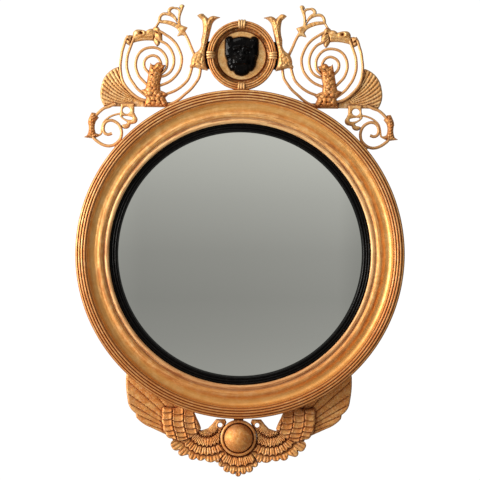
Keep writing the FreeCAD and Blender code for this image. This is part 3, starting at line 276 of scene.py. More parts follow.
def water_gilding(name, gold, pale, wear, roughness, hollow_at=7.0, flecks=0.3, cream_highlight=0.35,
                  streaks=0.0):
    """Gold leaf laid on red clay over gesso and burnished: a soft metal gleam, warmer where the
    leaf is thin, cream on the high points that is partly a painted highlight, clay on rubbed
    edges, brown size and painted shade in hollows narrower than hollow_at millimetres, and only
    an ochre wash on the flat back. Streaks is the share of the leaf's clouds that is drawn out
    along a turned moulding."""
    finish = settings()[1]
    material, tree, where, facing = new_material(name)
    point = add(tree, "ShaderNodeNewGeometry").outputs["Pointiness"]
    noise = {use: add(tree, "ShaderNodeTexNoise", noise_links(where, *sort)).outputs[0]
             for use, sort in {"clouds": (38, 4), "leaves": (16, 5), "grit": (4.5, 3, 0.6),
                               "rubbing": (7, 5, 0.7), "polish": (9, 4), "tool_marks": (6, 3),
                               "brush_marks": (1.6, 4)}.items()}
    clouds = noise["clouds"]
    if streaks:
        # real brush lines are finer than a pixel, so they are drawn 1.7 mm apart
        lines = add(tree, "ShaderNodeTexNoise",
                    noise_links(round_the_axis(tree, where), 1.7, 4, 0.6)).outputs[0]
        clouds = add(tree, "ShaderNodeMix", {0: streaks, 2: clouds, 3: lines}).outputs[0]
    edges = add(tree, "ShaderNodeMapRange",
                {"Value": point, "From Min": 0.52, "From Max": 0.6}).outputs[0]
    rubbed = add(tree, "ShaderNodeMapRange", {"Value": noise["rubbing"], "From Min": 0.5,
                                              "From Max": 0.68, "To Max": wear}).outputs[0]
    worn = add(tree, "ShaderNodeMath", {0: edges, 1: rubbed}, operation="MULTIPLY").outputs[0]
    tone = coated(tree, (*finish.warm_gold, 1.0), (
        (clouds, 0.3, 0.56, 1.0, gold),
        (noise["leaves"], 0.46, 0.72, 1.0, pale),
        (noise["grit"], 0.54, 0.7, flecks, finish.cream_and_highlight),
        (noise["grit"], 0.47, 0.3, flecks, finish.size),
        # painted highlight in part: the convex high points turn cream, besides their burnish
        (point, 0.512, 0.57, cream_highlight, finish.cream_and_highlight),
        (worn, 0, 1, 1.0, finish.bole),
    ))
    gleam = add(tree, "ShaderNodeMapRange", {
        "Value": noise["polish"], "From Min": 0.3, "From Max": 0.7, "To Min": roughness - 0.06,
        "To Max": roughness + 0.1}).outputs[0]
    if streaks:
        tone, gleam = frame_tones(tree, where, tone, gleam)
    # painted shade: occlusion and concave pointiness lay brown into hollows and creases, as well as
    # old size and dust
    shut = add(tree, "ShaderNodeAmbientOcclusion", {"Distance": hollow_at * MM},
               samples=8).outputs["AO"]
    dust_and_shade = add(tree, "ShaderNodeMapRange",
                {"Value": shut, "From Min": 0.95, "From Max": 0.5}).outputs[0]
    creased = add(tree, "ShaderNodeMapRange", {"Value": point, "From Min": 0.49,
                                               "From Max": 0.445, "To Max": 0.95}).outputs[0]
    dust_and_shade = add(tree, "ShaderNodeMath", {0: dust_and_shade, 1: creased}, operation="MAXIMUM").outputs[0]
    backward = add(tree, "ShaderNodeSeparateXYZ", {0: facing}).outputs[1]
    back = add(tree, "ShaderNodeMapRange",
               {"Value": backward, "From Min": 0.985, "From Max": 0.998}).outputs[0]
    tone = coated(tree, tone, ((dust_and_shade, 0, 1, 1.0, finish.hollow_shade_and_dust), (back, 0, 1, 1.0, finish.wash)))
    metal = add(tree, "ShaderNodeMapRange", {"Value": back, "To Min": 0.67,
                                             "To Max": 0.0}).outputs[0]
    tooled = add(tree, "ShaderNodeBump", {"Height": noise["tool_marks"], "Distance": 0.35 * MM,
                                          "Strength": 0.5}).outputs[0]
    brushed = add(tree, "ShaderNodeBump", {"Height": noise["brush_marks"], "Distance": 0.12 * MM,
                                           "Strength": 0.5, "Normal": tooled}).outputs[0]
    shader = add(tree, "ShaderNodeBsdfPrincipled", {"Base Color": tone, "Metallic": metal,
                                                    "Roughness": gleam, "Normal": brushed})
    add(tree, "ShaderNodeOutputMaterial", {"Surface": shader.outputs[0]})
    return material


def ebonised_wood(name, gloss, tooling, roughness):
    """Pear wood stained black under hard polish: near black, with a clear tight gloss, the long
    pores of the wood just showing, and gouge marks of some depth on the carved pieces."""
    finish = settings()[1]
    material, tree, where, _ = new_material(name)
    clouds = add(tree, "ShaderNodeTexNoise", noise_links(where, 12, 4)).outputs[0]
    gouges = add(tree, "ShaderNodeTexNoise", noise_links(where, 4, 2)).outputs[0]
    pores = add(tree, "ShaderNodeTexNoise",
                noise_links(round_the_axis(tree, where), 0.9, 3)).outputs[0]
    tone = coated(tree, (*finish.ebony, 1.0),
                  ((clouds, 0.5, 0.8, 1.0, finish.worn_ebony),))
    gleam = add(tree, "ShaderNodeMapRange", {
        "Value": pores, "From Min": 0.3, "From Max": 0.7, "To Min": roughness,
        "To Max": roughness + 0.14}).outputs[0]
    fine = add(tree, "ShaderNodeBump", {"Height": pores, "Distance": 0.08 * MM,
                                        "Strength": 0.4}).outputs[0]
    cut = add(tree, "ShaderNodeBump", {"Height": gouges, "Distance": tooling * MM,
                                       "Strength": 1.0, "Normal": fine}).outputs[0]
    shader = add(tree, "ShaderNodeBsdfPrincipled", {
        "Base Color": tone, "Roughness": gleam, "Specular IOR Level": gloss, "Normal": cut})
    add(tree, "ShaderNodeOutputMaterial", {"Surface": shader.outputs[0]})
    return material


def silvered_glass():
    """Old convex plate silvered at the back: a clean reflection with a slow ripple."""
    finish = settings()[1]
    material, tree, where, _ = new_material("silvered_glass")
    waves = add(tree, "ShaderNodeTexNoise", noise_links(where, 160, 1)).outputs[0]
    clouds = add(tree, "ShaderNodeTexNoise", noise_links(where, 60, 4)).outputs[0]
    ripple = add(tree, "ShaderNodeBump", {"Height": waves, "Distance": 0.25 * MM,
                                          "Strength": 0.2}).outputs[0]
    haze = add(tree, "ShaderNodeMapRange", {"Value": clouds, "From Min": 0.4, "From Max": 0.8,
                                            "To Min": 0.05, "To Max": 0.09}).outputs[0]
    shader = add(tree, "ShaderNodeBsdfPrincipled", {
        "Base Color": (*finish.silvering, 1), "Metallic": 1.0, "Roughness": haze,
        "Normal": ripple})
    add(tree, "ShaderNodeOutputMaterial", {"Surface": shader.outputs[0]})
    return material


def bare_pine(name, along):
    """Hand-planed deal that has never been finished: dry, brown with age, with grain lines along
    the board and darker latewood. The lines are drawn coarser than real ones so that they show."""
    finish = settings()[1]
    material, tree, where, _ = new_material(name)
    if along == "round":
        where = round_the_axis(tree, where)
    else:
        where = add(tree, "ShaderNodeMapping", {0: where,
                                                3: (GRAIN_STRETCH, 1.0, 1.0)}).outputs[0]
    grain = add(tree, "ShaderNodeTexNoise", noise_links(where, 7, 5, 0.6)).outputs[0]
    lines = add(tree, "ShaderNodeTexNoise", noise_links(where, 1.8, 3)).outputs[0]
    tone = coated(tree, (*finish.pine, 1.0), (
        (grain, 0.35, 0.7, 1.0, finish.old_pine),
        (lines, 0.55, 0.75, 0.5, finish.latewood),
    ))
    dry = add(tree, "ShaderNodeBump", {"Height": lines, "Distance": 0.25 * MM,
                                       "Strength": 0.6}).outputs[0]
    shader = add(tree, "ShaderNodeBsdfPrincipled", {"Base Color": tone, "Roughness": 0.78,
                                                    "Normal": dry})
    add(tree, "ShaderNodeOutputMaterial", {"Surface": shader.outputs[0]})
    return material


def old_metal(name, bright, dull, roughness, metallic=1.0):
    """Bare metal that has toned in the air: dull, with darker patches and a fine scratched skin."""
    material, tree, where, _ = new_material(name)
    patches = add(tree, "ShaderNodeTexNoise", noise_links(where, 8, 5, 0.65)).outputs[0]
    skin = add(tree, "ShaderNodeTexNoise", noise_links(where, 0.8, 3)).outputs[0]
    tone = coated(tree, (*linear(bright), 1.0),
                  ((patches, 0.4, 0.65, 1.0, linear(dull)),))
    gleam = add(tree, "ShaderNodeMapRange", {
        "Value": patches, "From Min": 0.3, "From Max": 0.7,
        "To Min": roughness - 0.08, "To Max": roughness + 0.12}).outputs[0]
    fine = add(tree, "ShaderNodeBump", {"Height": skin, "Distance": 0.05 * MM,
                                        "Strength": 0.4}).outputs[0]
    shader = add(tree, "ShaderNodeBsdfPrincipled", {"Base Color": tone, "Metallic": metallic,
                                                    "Roughness": gleam, "Normal": fine})
    add(tree, "ShaderNodeOutputMaterial", {"Surface": shader.outputs[0]})
    return material


MATERIALS = {}


def finishes():
    """The object's materials, made once."""
    if MATERIALS:
        return MATERIALS
    finish = settings()[1]
    gold, pale, apron = finish.gold, finish.pale_gold, finish.apron_gold
    gildings = {
        # streaked round the frame, rubbed to clay and size at its edges
        "turned_gilding": dict(gold=gold, pale=pale, wear=0.9, roughness=0.45, hollow_at=2.5,
                               flecks=0.2, cream_highlight=0.15, streaks=0.75),
        # lively and sparkling on the leaves of the crest
        "carved_gilding": dict(gold=gold, pale=pale, wear=0.55, roughness=0.55, hollow_at=7.0,
                               flecks=0.5, cream_highlight=0.22),
        # redder and deeper on feathers, trunks and husks
        "apron_gilding": dict(gold=apron, pale=finish.apron_pale, wear=0.55, roughness=0.55,
                              hollow_at=8.0, flecks=0.42, cream_highlight=0.1),
        # even and pale on the roundel's disc
        "dish_gilding": dict(gold=gold, pale=pale, wear=0.2, roughness=0.44, hollow_at=3.0,
                             flecks=0.4, cream_highlight=0.05),
        # painted shade: dark gold in the roundel's cove, for the shadow of its ring
        "cove_gilding": dict(gold=finish.cove_shade_gold, pale=apron, wear=0.6, roughness=0.4,
                             hollow_at=4.5, flecks=0.5, cream_highlight=0.1),
        # soft broad highlight on the orb
        "burnished_gilding": dict(gold=apron, pale=gold, wear=0.4, roughness=0.62, hollow_at=3.0,
                                  flecks=0.3, cream_highlight=0.1),
        # smooth, bright leaf on the thin rods
        "rod_gilding": dict(gold=finish.rod_gold, pale=gold, wear=0.3, roughness=0.48),
    }
    for name, leaf in gildings.items():
        MATERIALS[name] = water_gilding(name, **leaf)
    MATERIALS.update(
        # glossy on the turned slip and the spines, with wider highlights than on the mask
        ebonised_wood=ebonised_wood("ebonised_wood", 0.1, 0.0, 0.2),
        # nearly lost in the dark but for sharp small glints on the mask
        ebonised_carving=ebonised_wood("ebonised_carving", 0.07, 0.12, 0.02),
        silvered_glass=silvered_glass(),
        board_pine=bare_pine("board_pine", "across"),
        felloe_pine=bare_pine("felloe_pine", "round"),
        dull_brass=old_metal("dull_brass", "B08D4B", "6E5226", 0.38),
        black_iron=old_metal("black_iron", "2B2927", "151312", 0.55, 0.8),
        plain_steel=old_metal("plain_steel", "8B8882", "4A443D", 0.42),
    )
    return MATERIALS


def paint(node, material):
    """Give a CAD node its finished material."""
    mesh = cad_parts[node].data
    mesh.materials.clear()
    mesh.materials.append(material)


# ---------------------------------------------------------------------------- making meshes


def new_object(name, vertices, edges, faces):
    """Object in the scene with a new mesh."""
    mesh = bpy.data.meshes.new(name)
    mesh.from_pydata([tuple(v) for v in vertices], edges, faces)
    piece = bpy.data.objects.new(name, mesh)
    bpy.context.scene.collection.objects.link(piece)
    return piece


def finished(piece, nodes, material=None, crease=38):
    """Merge, turn the faces outwards, smooth, and hand the piece to the frame's body. Edges
    sharper than crease degrees stay sharp."""
    shape = bmesh.new()
    shape.from_mesh(piece.data)
    bmesh.ops.remove_doubles(shape, verts=shape.verts, dist=1e-6)
    bmesh.ops.recalc_face_normals(shape, faces=shape.faces)
    shape.to_mesh(piece.data)
    shape.free()
    piece.data.shade_smooth()
    piece.data.set_sharp_from_angle(angle=math.radians(crease))
    if material is not None:
        piece.data.materials.clear()
        piece.data.materials.append(material)
    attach(piece, "frame")
    if nodes:
        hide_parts(*nodes)


def grown(base, tree, **inputs):
    """Run a geometry tree on the object and keep the result as its plain mesh."""
    modifier = base.modifiers.new("Shape", "NODES")
    modifier.node_group = tree
    for item in tree.interface.items_tree:
        key = item.name.lower().replace(" ", "_")
        if item.in_out == "INPUT" and key in inputs:
            modifier[item.identifier] = inputs[key]
    bpy.context.view_layer.update()
    evaluated = base.evaluated_get(bpy.context.evaluated_depsgraph_get())
    mesh = bpy.data.meshes.new_from_object(evaluated)
    base.modifiers.clear()
    base.data = mesh


def new_tree(name, **sockets):
    """Geometry tree with a Geometry input and output and the named further inputs."""
    tree = bpy.data.node_groups.new(name, "GeometryNodeTree")
    tree.interface.new_socket("Geometry", in_out="OUTPUT", socket_type="NodeSocketGeometry")
    tree.interface.new_socket("Geometry", in_out="INPUT", socket_type="NodeSocketGeometry")
    for key, kind in sockets.items():
        label = key.replace("_", " ").capitalize()
        tree.interface.new_socket(label, in_out="INPUT", socket_type="NodeSocket" + kind)
    return tree, add(tree, "NodeGroupInput").outputs


def closed_tree(tree, geometry, material):
    """End of every geometry tree: real meshes with the piece's material."""
    real = add(tree, "GeometryNodeRealizeInstances", {0: geometry}).outputs[0]
    painted = add(tree, "GeometryNodeSetMaterial", {"Geometry": real, "Material": material})
    add(tree, "NodeGroupOutput", {0: painted.outputs[0]})
    return tree


def turning_tree():
    """Carries a section round the axis that runs out of the wall."""
    tree, given = new_tree("Turned section", steps="Int", height="Float", finish="Material")
    count = add(tree, "GeometryNodeAttributeDomainSize", {0: given["Geometry"]},
                component="MESH").outputs["Point Count"]
    rows = add(tree, "ShaderNodeMath", {0: given["Steps"], 1: 1.0}).outputs[0]
    grid = add(tree, "GeometryNodeMeshGrid", {"Vertices X": rows, "Vertices Y": count})
    index = add(tree, "GeometryNodeInputIndex").outputs[0]
    share = add(tree, "ShaderNodeMath", {0: index, 1: count}, operation="DIVIDE").outputs[0]
    row = add(tree, "ShaderNodeMath", {0: share}, operation="FLOOR").outputs[0]
    place = add(tree, "ShaderNodeMath", {0: index, 1: count}, operation="MODULO").outputs[0]
    spot = add(tree, "GeometryNodeInputPosition").outputs[0]
    taken = add(tree, "GeometryNodeSampleIndex",
                {"Geometry": given["Geometry"], "Value": spot, "Index": place},
                data_type="FLOAT_VECTOR").outputs[0]
    section = add(tree, "ShaderNodeSeparateXYZ", {0: taken}).outputs
    turn = add(tree, "ShaderNodeMath", {0: 2 * math.pi, 1: given["Steps"]},
               operation="DIVIDE").outputs[0]
    angle = add(tree, "ShaderNodeMath", {0: row, 1: turn}, operation="MULTIPLY").outputs[0]
    cosine = add(tree, "ShaderNodeMath", {0: angle}, operation="COSINE").outputs[0]
    sine = add(tree, "ShaderNodeMath", {0: angle}, operation="SINE").outputs[0]
    x = add(tree, "ShaderNodeMath", {0: section[0], 1: cosine}, operation="MULTIPLY").outputs[0]
    z = add(tree, "ShaderNodeMath", {0: section[0], 1: sine, 2: given["Height"]},
            operation="MULTIPLY_ADD").outputs[0]
    position = add(tree, "ShaderNodeCombineXYZ", {0: x, 1: section[1], 2: z}).outputs[0]
    moved = add(tree, "GeometryNodeSetPosition",
                {"Geometry": grid.outputs["Mesh"], "Position": position}).outputs[0]
    merged = add(tree, "GeometryNodeMergeByDistance", {"Geometry": moved, "Distance": 1e-6})
    return closed_tree(tree, merged.outputs[0], given["Finish"])


ROD_SIDES = 20


def rod_tree():
    """Round rod along a line of edges."""
    tree, given = new_tree("Bent rod", radius="Float", finish="Material")
    line = add(tree, "GeometryNodeMeshToCurve", {0: given["Geometry"]}).outputs[0]
    section = add(tree, "GeometryNodeCurvePrimitiveCircle",
                  {"Resolution": ROD_SIDES, "Radius": given["Radius"]}).outputs[0]
    rod = add(tree, "GeometryNodeCurveToMesh",
              {"Curve": line, "Profile Curve": section, "Fill Caps": True}).outputs[0]
    return closed_tree(tree, rod, given["Finish"])


def laying_tree():
    """Lays a copy of a piece at each point, turned and sized by the point's attributes."""
    tree, given = new_tree("Laid pieces", piece="Object", finish="Material")
    piece = add(tree, "GeometryNodeObjectInfo", {"Object": given["Piece"]})
    turn = add(tree, "GeometryNodeInputNamedAttribute", {"Name": "turn"},
               data_type="FLOAT_VECTOR").outputs[0]
    size = add(tree, "GeometryNodeInputNamedAttribute", {"Name": "size"},
               data_type="FLOAT_VECTOR").outputs[0]
    laid = add(tree, "GeometryNodeInstanceOnPoints",
               {"Points": given["Geometry"], "Instance": piece.outputs["Geometry"],
                "Rotation": turn, "Scale": size}).outputs[0]
    return closed_tree(tree, laid, given["Finish"])


TREES = {}


def tree_of(maker):
    """The maker's geometry tree, made once."""
    if maker.__name__ not in TREES:
        TREES[maker.__name__] = maker()
    return TREES[maker.__name__]


def turned(name, corners, node, material, height=0.0):
    """Turned piece from (radius, depth) corners in millimetres, walked once round."""
    points = [(r * MM, -d * MM, 0) for r, d in corners + corners[:1]]
    piece = new_object(name, points, [], [])
    grown(piece, tree_of(turning_tree), steps=settings()[0].steps_round, height=height * MM,
          finish=material)
    finished(piece, [node])


def laid(name, source, points, slot, nodes, material):
    """Copies of a source mesh. Each point is (place, turn, size)."""
    pattern = new_object(name + "_pattern", *source)
    piece = new_object(name, [p[0] for p in points], [], [])
    for key, column in (("turn", 1), ("size", 2)):
        attribute = piece.data.attributes.new(key, "FLOAT_VECTOR", "POINT")
        attribute.data.foreach_set("vector", np.ravel([p[column] for p in points]))
    grown(piece, tree_of(laying_tree), piece=pattern, finish=material)
    bpy.data.objects.remove(pattern)
    finished(piece, nodes)


# ---------------------------------------------------------------------------- lines and outlines


def bow(start, end, sagitta, count=9):
    """Points of the arc from start up to, but without, end, bowed by sagitta towards the viewer."""
    a, b = np.array(start, float), np.array(end, float)
    chord = np.linalg.norm(b - a)
    across = np.array([a[1] - b[1], b[0] - a[0]]) / chord
    if across[1] < 0:
        across = -across
    radius = (chord * chord / 4 + sagitta * sagitta) / (2 * abs(sagitta))
    centre = (a + b) / 2 + across * (sagitta - math.copysign(radius, sagitta))
    first = math.atan2(a[1] - centre[1], a[0] - centre[0])
    sweep = math.atan2(b[1] - centre[1], b[0] - centre[0]) - first
    sweep = (sweep + math.pi) % (2 * math.pi) - math.pi
    angles = first + sweep * np.arange(count) / count
    return [(centre[0] + radius * math.cos(t), centre[1] + radius * math.sin(t)) for t in angles]


def reeded(outer, inner, levels, bulge):
    """Corners of a band of reeds from the outer edge inwards; one level for each valley."""
    radii = np.linspace(outer, inner, len(levels))
    corners = []
    for i in range(len(levels) - 1):
        corners += bow((radii[i], levels[i]), (radii[i + 1], levels[i + 1]), bulge)
    return corners + [(inner, levels[-1])]


def via(u, v):
    """Marks a point that an arc passes through, between its two neighbours."""
    return (u, v, "via")


def arc_through(a, b, c, step):
    """Points of the arc a to c through b, without c."""
    a, b, c = (np.array(p[:2], float) for p in (a, b, c))
    d = 2 * (a[0] * (b[1] - c[1]) + b[0] * (c[1] - a[1]) + c[0] * (a[1] - b[1]))
    ux = (a @ a * (b[1] - c[1]) + b @ b * (c[1] - a[1]) + c @ c * (a[1] - b[1])) / d
    uy = (a @ a * (c[0] - b[0]) + b @ b * (a[0] - c[0]) + c @ c * (b[0] - a[0])) / d
    centre = np.array([ux, uy])
    first, middle, last = (math.atan2(*(p - centre)[::-1]) for p in (a, b, c))
    turn = (last - first) % (2 * math.pi)
    if (middle - first) % (2 * math.pi) > turn:
        turn -= 2 * math.pi
    radius = np.linalg.norm(a - centre)
    count = max(2, round(abs(turn) * radius / step))
    angles = first + turn * np.arange(count) / count
    return [centre + radius * np.array([math.cos(t), math.sin(t)]) for t in angles]


def walked(points, step):
    """Evenly spaced points along a closed outline of lines and three-point arcs."""
    found = []
    i = 0
    while i < len(points):
        after = points[(i + 1) % len(points)]
        if len(after) == 3:
            found += arc_through(points[i], after, points[(i + 2) % len(points)], step)
            i += 2
        else:
            a, b = np.array(points[i][:2], float), np.array(after, float)
            count = max(1, round(np.linalg.norm(b - a) / step))
            found += [a + (b - a) * k / count for k in range(count)]
            i += 1
    return np.array(found)


def smooth_line(pairs, per_span=10):
    """Points of a smooth curve through the given pairs."""
    p = np.array(pairs, float)
    p = np.vstack([2 * p[0] - p[1], p, 2 * p[-1] - p[-2]])
    found = []
    for i in range(1, len(p) - 2):
        a, b, c, d = p[i - 1:i + 3]
        for t in np.arange(per_span) / per_span:
            found.append(0.5 * (2 * b + (c - a) * t + (2 * a - 5 * b + 4 * c - d) * t * t
                                + (3 * b - a - 3 * c + d) * t ** 3))
    found.append(p[-2])
    return np.array(found)


def edge_distance(points, loops):
    """Distance from each point to the nearest outline, and whether it lies inside."""
    best = np.full(len(points), 1e9)
    inside = np.zeros(len(points), bool)
    for loop in loops:
        for a, b in zip(loop, np.roll(loop, -1, 0)):
            along = b - a
            t = np.clip((points - a) @ along / max(along @ along, 1e-12), 0, 1)
            best = np.minimum(best, np.linalg.norm(points - a - t[:, None] * along, axis=1))
            if a[1] != b[1]:
                crosses = (a[1] > points[:, 1]) != (b[1] > points[:, 1])
                reach = a[0] + along[0] * (points[:, 1] - a[1]) / along[1]
                inside ^= crosses & (points[:, 0] < reach)
    return best, inside


def filled(points, loops):
    """Triangles of a plane patch: its outlines are the first points."""
    edges, start = [], 0
    for size in (len(loop) for loop in loops):
        edges += [(start + k, start + (k + 1) % size) for k in range(size)]
        start += size
    result = delaunay_2d_cdt([Vector(p) for p in points], edges, [], 0, 1e-7)
    spots = np.array([v[:] for v in result[0]])
    origins = [o[0] if o else -1 for o in result[3]]
    faces = np.array([f for f in result[2] if len(f) == 3])
    middles = spots[faces].mean(1)
    keep = edge_distance(middles, loops)[1]
    return [[origins[i] for i in f] for f in faces[keep] if min(origins[i] for i in f) >= 0]


def outlines(plans, step, clear, grow):
    """Outlines of a carving, the outer one first, grown by some millimetres and kept clear of
    round neighbours, given as (u, v, radius)."""
    loops = [walked(plan, step) for plan in plans]
    for k, loop in enumerate(loops):
        following = np.roll(loop, -1, 0)
        along = following - np.roll(loop, 1, 0)
        out = np.column_stack([along[:, 1], -along[:, 0]]) / np.linalg.norm(along, axis=1)[:, None]
        area = np.sum(loop[:, 0] * following[:, 1] - loop[:, 1] * following[:, 0])
        loop += out * grow * math.copysign(1, area) * (-1 if k else 1)
    for cu, cv, radius in clear:
        for loop in loops:
            away = loop - (cu, cv)
            reach = np.linalg.norm(away, axis=1)
            loop[:] += away * (np.maximum(radius / reach, 1) - 1)[:, None]
    return loops


def carved(name, plans, origin, back, height, material, step, paired=True, clear=(),
           grow=0.0):
    """Carving over a plan, made for the right and mirrored for the left if it is one of a pair:
    a flat back at one depth, upright sides, and a front whose height over the back is
    height(u, v, distance from the edge)."""
    loops = outlines(plans, step, clear, grow)
    rim = np.vstack(loops)
    low, high = rim.min(0), rim.max(0)
    rows = np.arange(low[1], high[1], step * 0.87)
    grid = np.array([(u + (k % 2) * step / 2, v) for k, v in enumerate(rows)
                     for u in np.arange(low[0], high[0], step)])
    distance, inside = edge_distance(grid, loops)
    grid = grid[inside & (distance > step * 0.6)]
    distance = distance[inside & (distance > step * 0.6)]
    plan = np.vstack([rim, grid])
    depth = back + height(plan[:, 0], plan[:, 1], np.concatenate([np.zeros(len(rim)), distance]))
    front = filled(plan, loops)
    behind = filled(rim, loops)
    count = len(plan)
    faces = front + [[count + i for i in face] for face in behind]
    start = 0
    for size in (len(loop) for loop in loops):
        for k in range(size):
            i, j = start + k, start + (k + 1) % size
            faces.append([i, j, count + j, count + i])
        start += size
    for side, sign in SIDES if paired else (("", 1),):
        top = np.column_stack([sign * (plan[:, 0] + origin[0]), -depth, plan[:, 1] + origin[1]])
        bottom = np.column_stack([sign * (rim[:, 0] + origin[0]), np.full(len(rim), -back),
                                  rim[:, 1] + origin[1]])
        label = f"{name}_{side}" if side else name
        piece = new_object("carved_" + label, np.vstack([top, bottom]) * MM, [], faces)
        finished(piece, [label], material, crease=60)


# ---------------------------------------------------------------------------- relief helpers


def crown(d, radius, edge, top):
    """Rounded rise from the edge height to the top height within radius of the edge."""
    t = np.clip(d / radius, 0, 1)
    return edge + (top - edge) * np.sqrt(1 - (1 - t) ** 2)


def mound(u, v, cu, cv, ru, rv, turn=0.0):
    """Soft round swelling of height one."""
    c, s = math.cos(math.radians(turn)), math.sin(math.radians(turn))
    x, y = u - cu, v - cv
    return np.exp(-(((x * c + y * s) / ru) ** 2 + ((y * c - x * s) / rv) ** 2))


def formed(u, v, forms):
    """Sum of swellings and, where the rise is negative, hollows. Each form is (rise, u, v,
    half width, half height, turn in degrees if any)."""
    return sum(rise * mound(u, v, *place) for rise, *place in forms)


def ridges(t):
    """Row of rounded ribs of height one with sharp grooves at the whole numbers."""
    return np.sqrt(np.abs(np.sin(np.pi * t)))


def lapped(t):
    """Rows that rise slowly and end in a step at each whole number."""
    f = t - np.floor(t)
    return f ** 0.8 * (1 - np.clip((f - 0.9) / 0.1, 0, 1) ** 2)


def eased(t, low, high):
    """Share that goes smoothly from nothing at low to one at high."""
    t = np.clip((t - low) / (high - low), 0, 1)
    return t * t * (3 - 2 * t)


def knobs(u, v, pitch, seed):
    """Irregular rounded lumps about pitch apart, of height up to one."""
    rng = np.random.default_rng(seed)
    low_u, low_v = u.min() - pitch, v.min() - pitch
    columns, rows = int((u.max() - low_u) / pitch) + 2, int((v.max() - low_v) / pitch) + 2
    best = np.full(u.shape, 1e9)
    for i in range(columns):
        for j in range(rows):
            du, dv = rng.uniform(-0.32, 0.32, 2) * pitch
            cu, cv = low_u + (i + 0.5 * (j % 2)) * pitch + du, low_v + j * pitch + dv
            best = np.minimum(best, np.hypot(u - cu, v - cv))
    return np.sqrt(np.clip(1 - (best / (0.62 * pitch)) ** 2, 0, 1))


# ---------------------------------------------------------------------------- round frame

MOULDING = (
    [(401, 30), (401, 38), (FACE_OUTER, 46)]
    + reeded(FACE_OUTER, REEDS_INNER, [55.2, 59.1, 60.9, 60.5, 57.8], 2.7)
    + [(REEDS_INNER, 56)]
    + bow((COVE_OUTER, 56), (TORUS_OUTER, 44.5), -9.3, 16)
    + bow((TORUS_OUTER, 44.5), (TORUS_INNER, 44.5), 4.0, 12)
    + [(TORUS_INNER, 44.5), (337.6, 42.6), (336.6, 42.4), (BEAD_OUTER, 42.6)]
    + bow((BEAD_OUTER, 42), (BEAD_INNER, 42), 3.2, 10)
    + [(BEAD_INNER, 42), (BEAD_INNER, 35), (330.4, 35), (330.4, 30)]
)
SLIP = [(305, 30), (330.1, 30), (330.1, 35), (323.8, 35)] + reeded(323.8, 305, [36] * 4, 2.4)
GLASS_EDGE, GLASS_RISE, GLASS_RADIUS, GLASS_THICKNESS = 26.8, 38.0, 317.5, 3.5
ROUNDEL_Z, ROUNDEL_RADIUS = 493.0, 86.0
ROUNDEL_RING = [(70, 14), (86, 14)] + reeded(86, 70, [32.5, 34.5, 34.5, 33], 2.3)
ROUNDEL_COVE = [(60, 14), (70, 14)] + bow((70, 32), (60, 18), -4) + [(60, 18)]
DISC_FACE = 24
ROUNDEL_DISC = [(0, 14), (60, 14), (60, 23), (59, DISC_FACE), (0, DISC_FACE)]
ORB_Z = -456.4
ORB_RING = ([(0, 14), (45.1, 14)] + bow((45.1, 26), (36.5, 26), 4.2, 12)
            + [(36.5, 26), (36.5, 17), (0, 17)])
ORB = [(0, 17), (36.2, 17)] + [(36.2 * math.cos(t), 22.5 + 28.5 * math.sin(t))
                               for t in np.linspace(0, math.pi / 2, 33)]


def glass_section():
    """Section of the convex glass, from its middle out along the front and back again."""
    curve = (GLASS_RADIUS ** 2 + GLASS_RISE ** 2) / (2 * GLASS_RISE)
    radii = np.linspace(0, GLASS_RADIUS, 60)
    rise = np.sqrt(curve ** 2 - radii ** 2) - (curve - GLASS_RISE)
    front = [(r, GLASS_EDGE + h) for r, h in zip(radii, rise)]
    back = [(r, GLASS_EDGE - GLASS_THICKNESS + h) for r, h in zip(radii, rise)]
    return front + back[::-1]


class MIRROR_OT_round_frame(bpy.types.Operator):
    """Turned moulding, ebonised slip and convex glass"""
    bl_idname = "mirror.round_frame"
    bl_label = "Round frame"

    def execute(self, context):
        look = finishes()
        turned("turned_moulding", MOULDING, "frame_moulding",
               look["turned_gilding"])
        turned("reeded_slip", SLIP, "ebonised_slip", look["ebonised_wood"])
        turned("convex_plate", glass_section(), "convex_glass",
               look["silvered_glass"])
        return {"FINISHED"}


# ---------------------------------------------------------------------------- roundel

MASK_SIDE = [
    (22, 42.5), via(28, 47.5), (36, 46), via(40, 42.5), (42, 36), (42, 12), via(41.5, 1), (39, -8),
    (36.5, -12), via(36, -22), (31, -32), via(29, -36), (25, -38.5), (20, -38.5), via(16, -45),
    (8, -49),
]
MASK = ([*MASK_SIDE, via(0, -51)] + [(-p[0], *p[1:]) for p in MASK_SIDE[::-1]] + [via(0, 47)])
TIE_RIBS = (-4.4, 0.0, 4.4)  # degrees from the middle of a tie
TIE_PATH = [(87.4, 24), (87.6, 33), (84, 37.3), (78, 39), (72, 37.3), (68.4, 33), (68.6, 29)]
RIB_HALF_WIDTH, RIB_RISE, RIB_SINK = 3.0, 1.7, 0.4
RIB_POINTS = 9  # points across a rib

# Forms of the right half of the mask.
MASK_FORMS = (
    (10, 0, -10, 18, 20),  # muzzle
    (4.5, 11, -18, 7, 6),  # pad of the muzzle
    (4.5, 14, 16, 9, 4, -12),  # brow
    (-5, 14, 7, 6, 3.4),  # eye socket
    (4, 14, 6.5, 2.7, 2.2),  # eye
    (3, 0, -9, 5.5, 4.5),  # nose
    (-2.4, 3, -12, 1.6, 1.3),  # nostril
    (-2.4, 0, -24, 11, 1.7),  # mouth
    (-1.2, 0, 22, 1.5, 12),  # groove of the forehead
    (4, 33, 38, 6, 6),  # ear
    (-3.4, 33, 37, 3, 3),  # hollow of the ear
    (2.4, 6, 19, 3.2, 3.2),  # knobs over the eye
    (2.6, 28, 20, 3.4, 3.4),
    (1.8, 31, 6, 3, 3),  # knobs of the cheek
    (2.2, 33, -3, 3, 3),
)


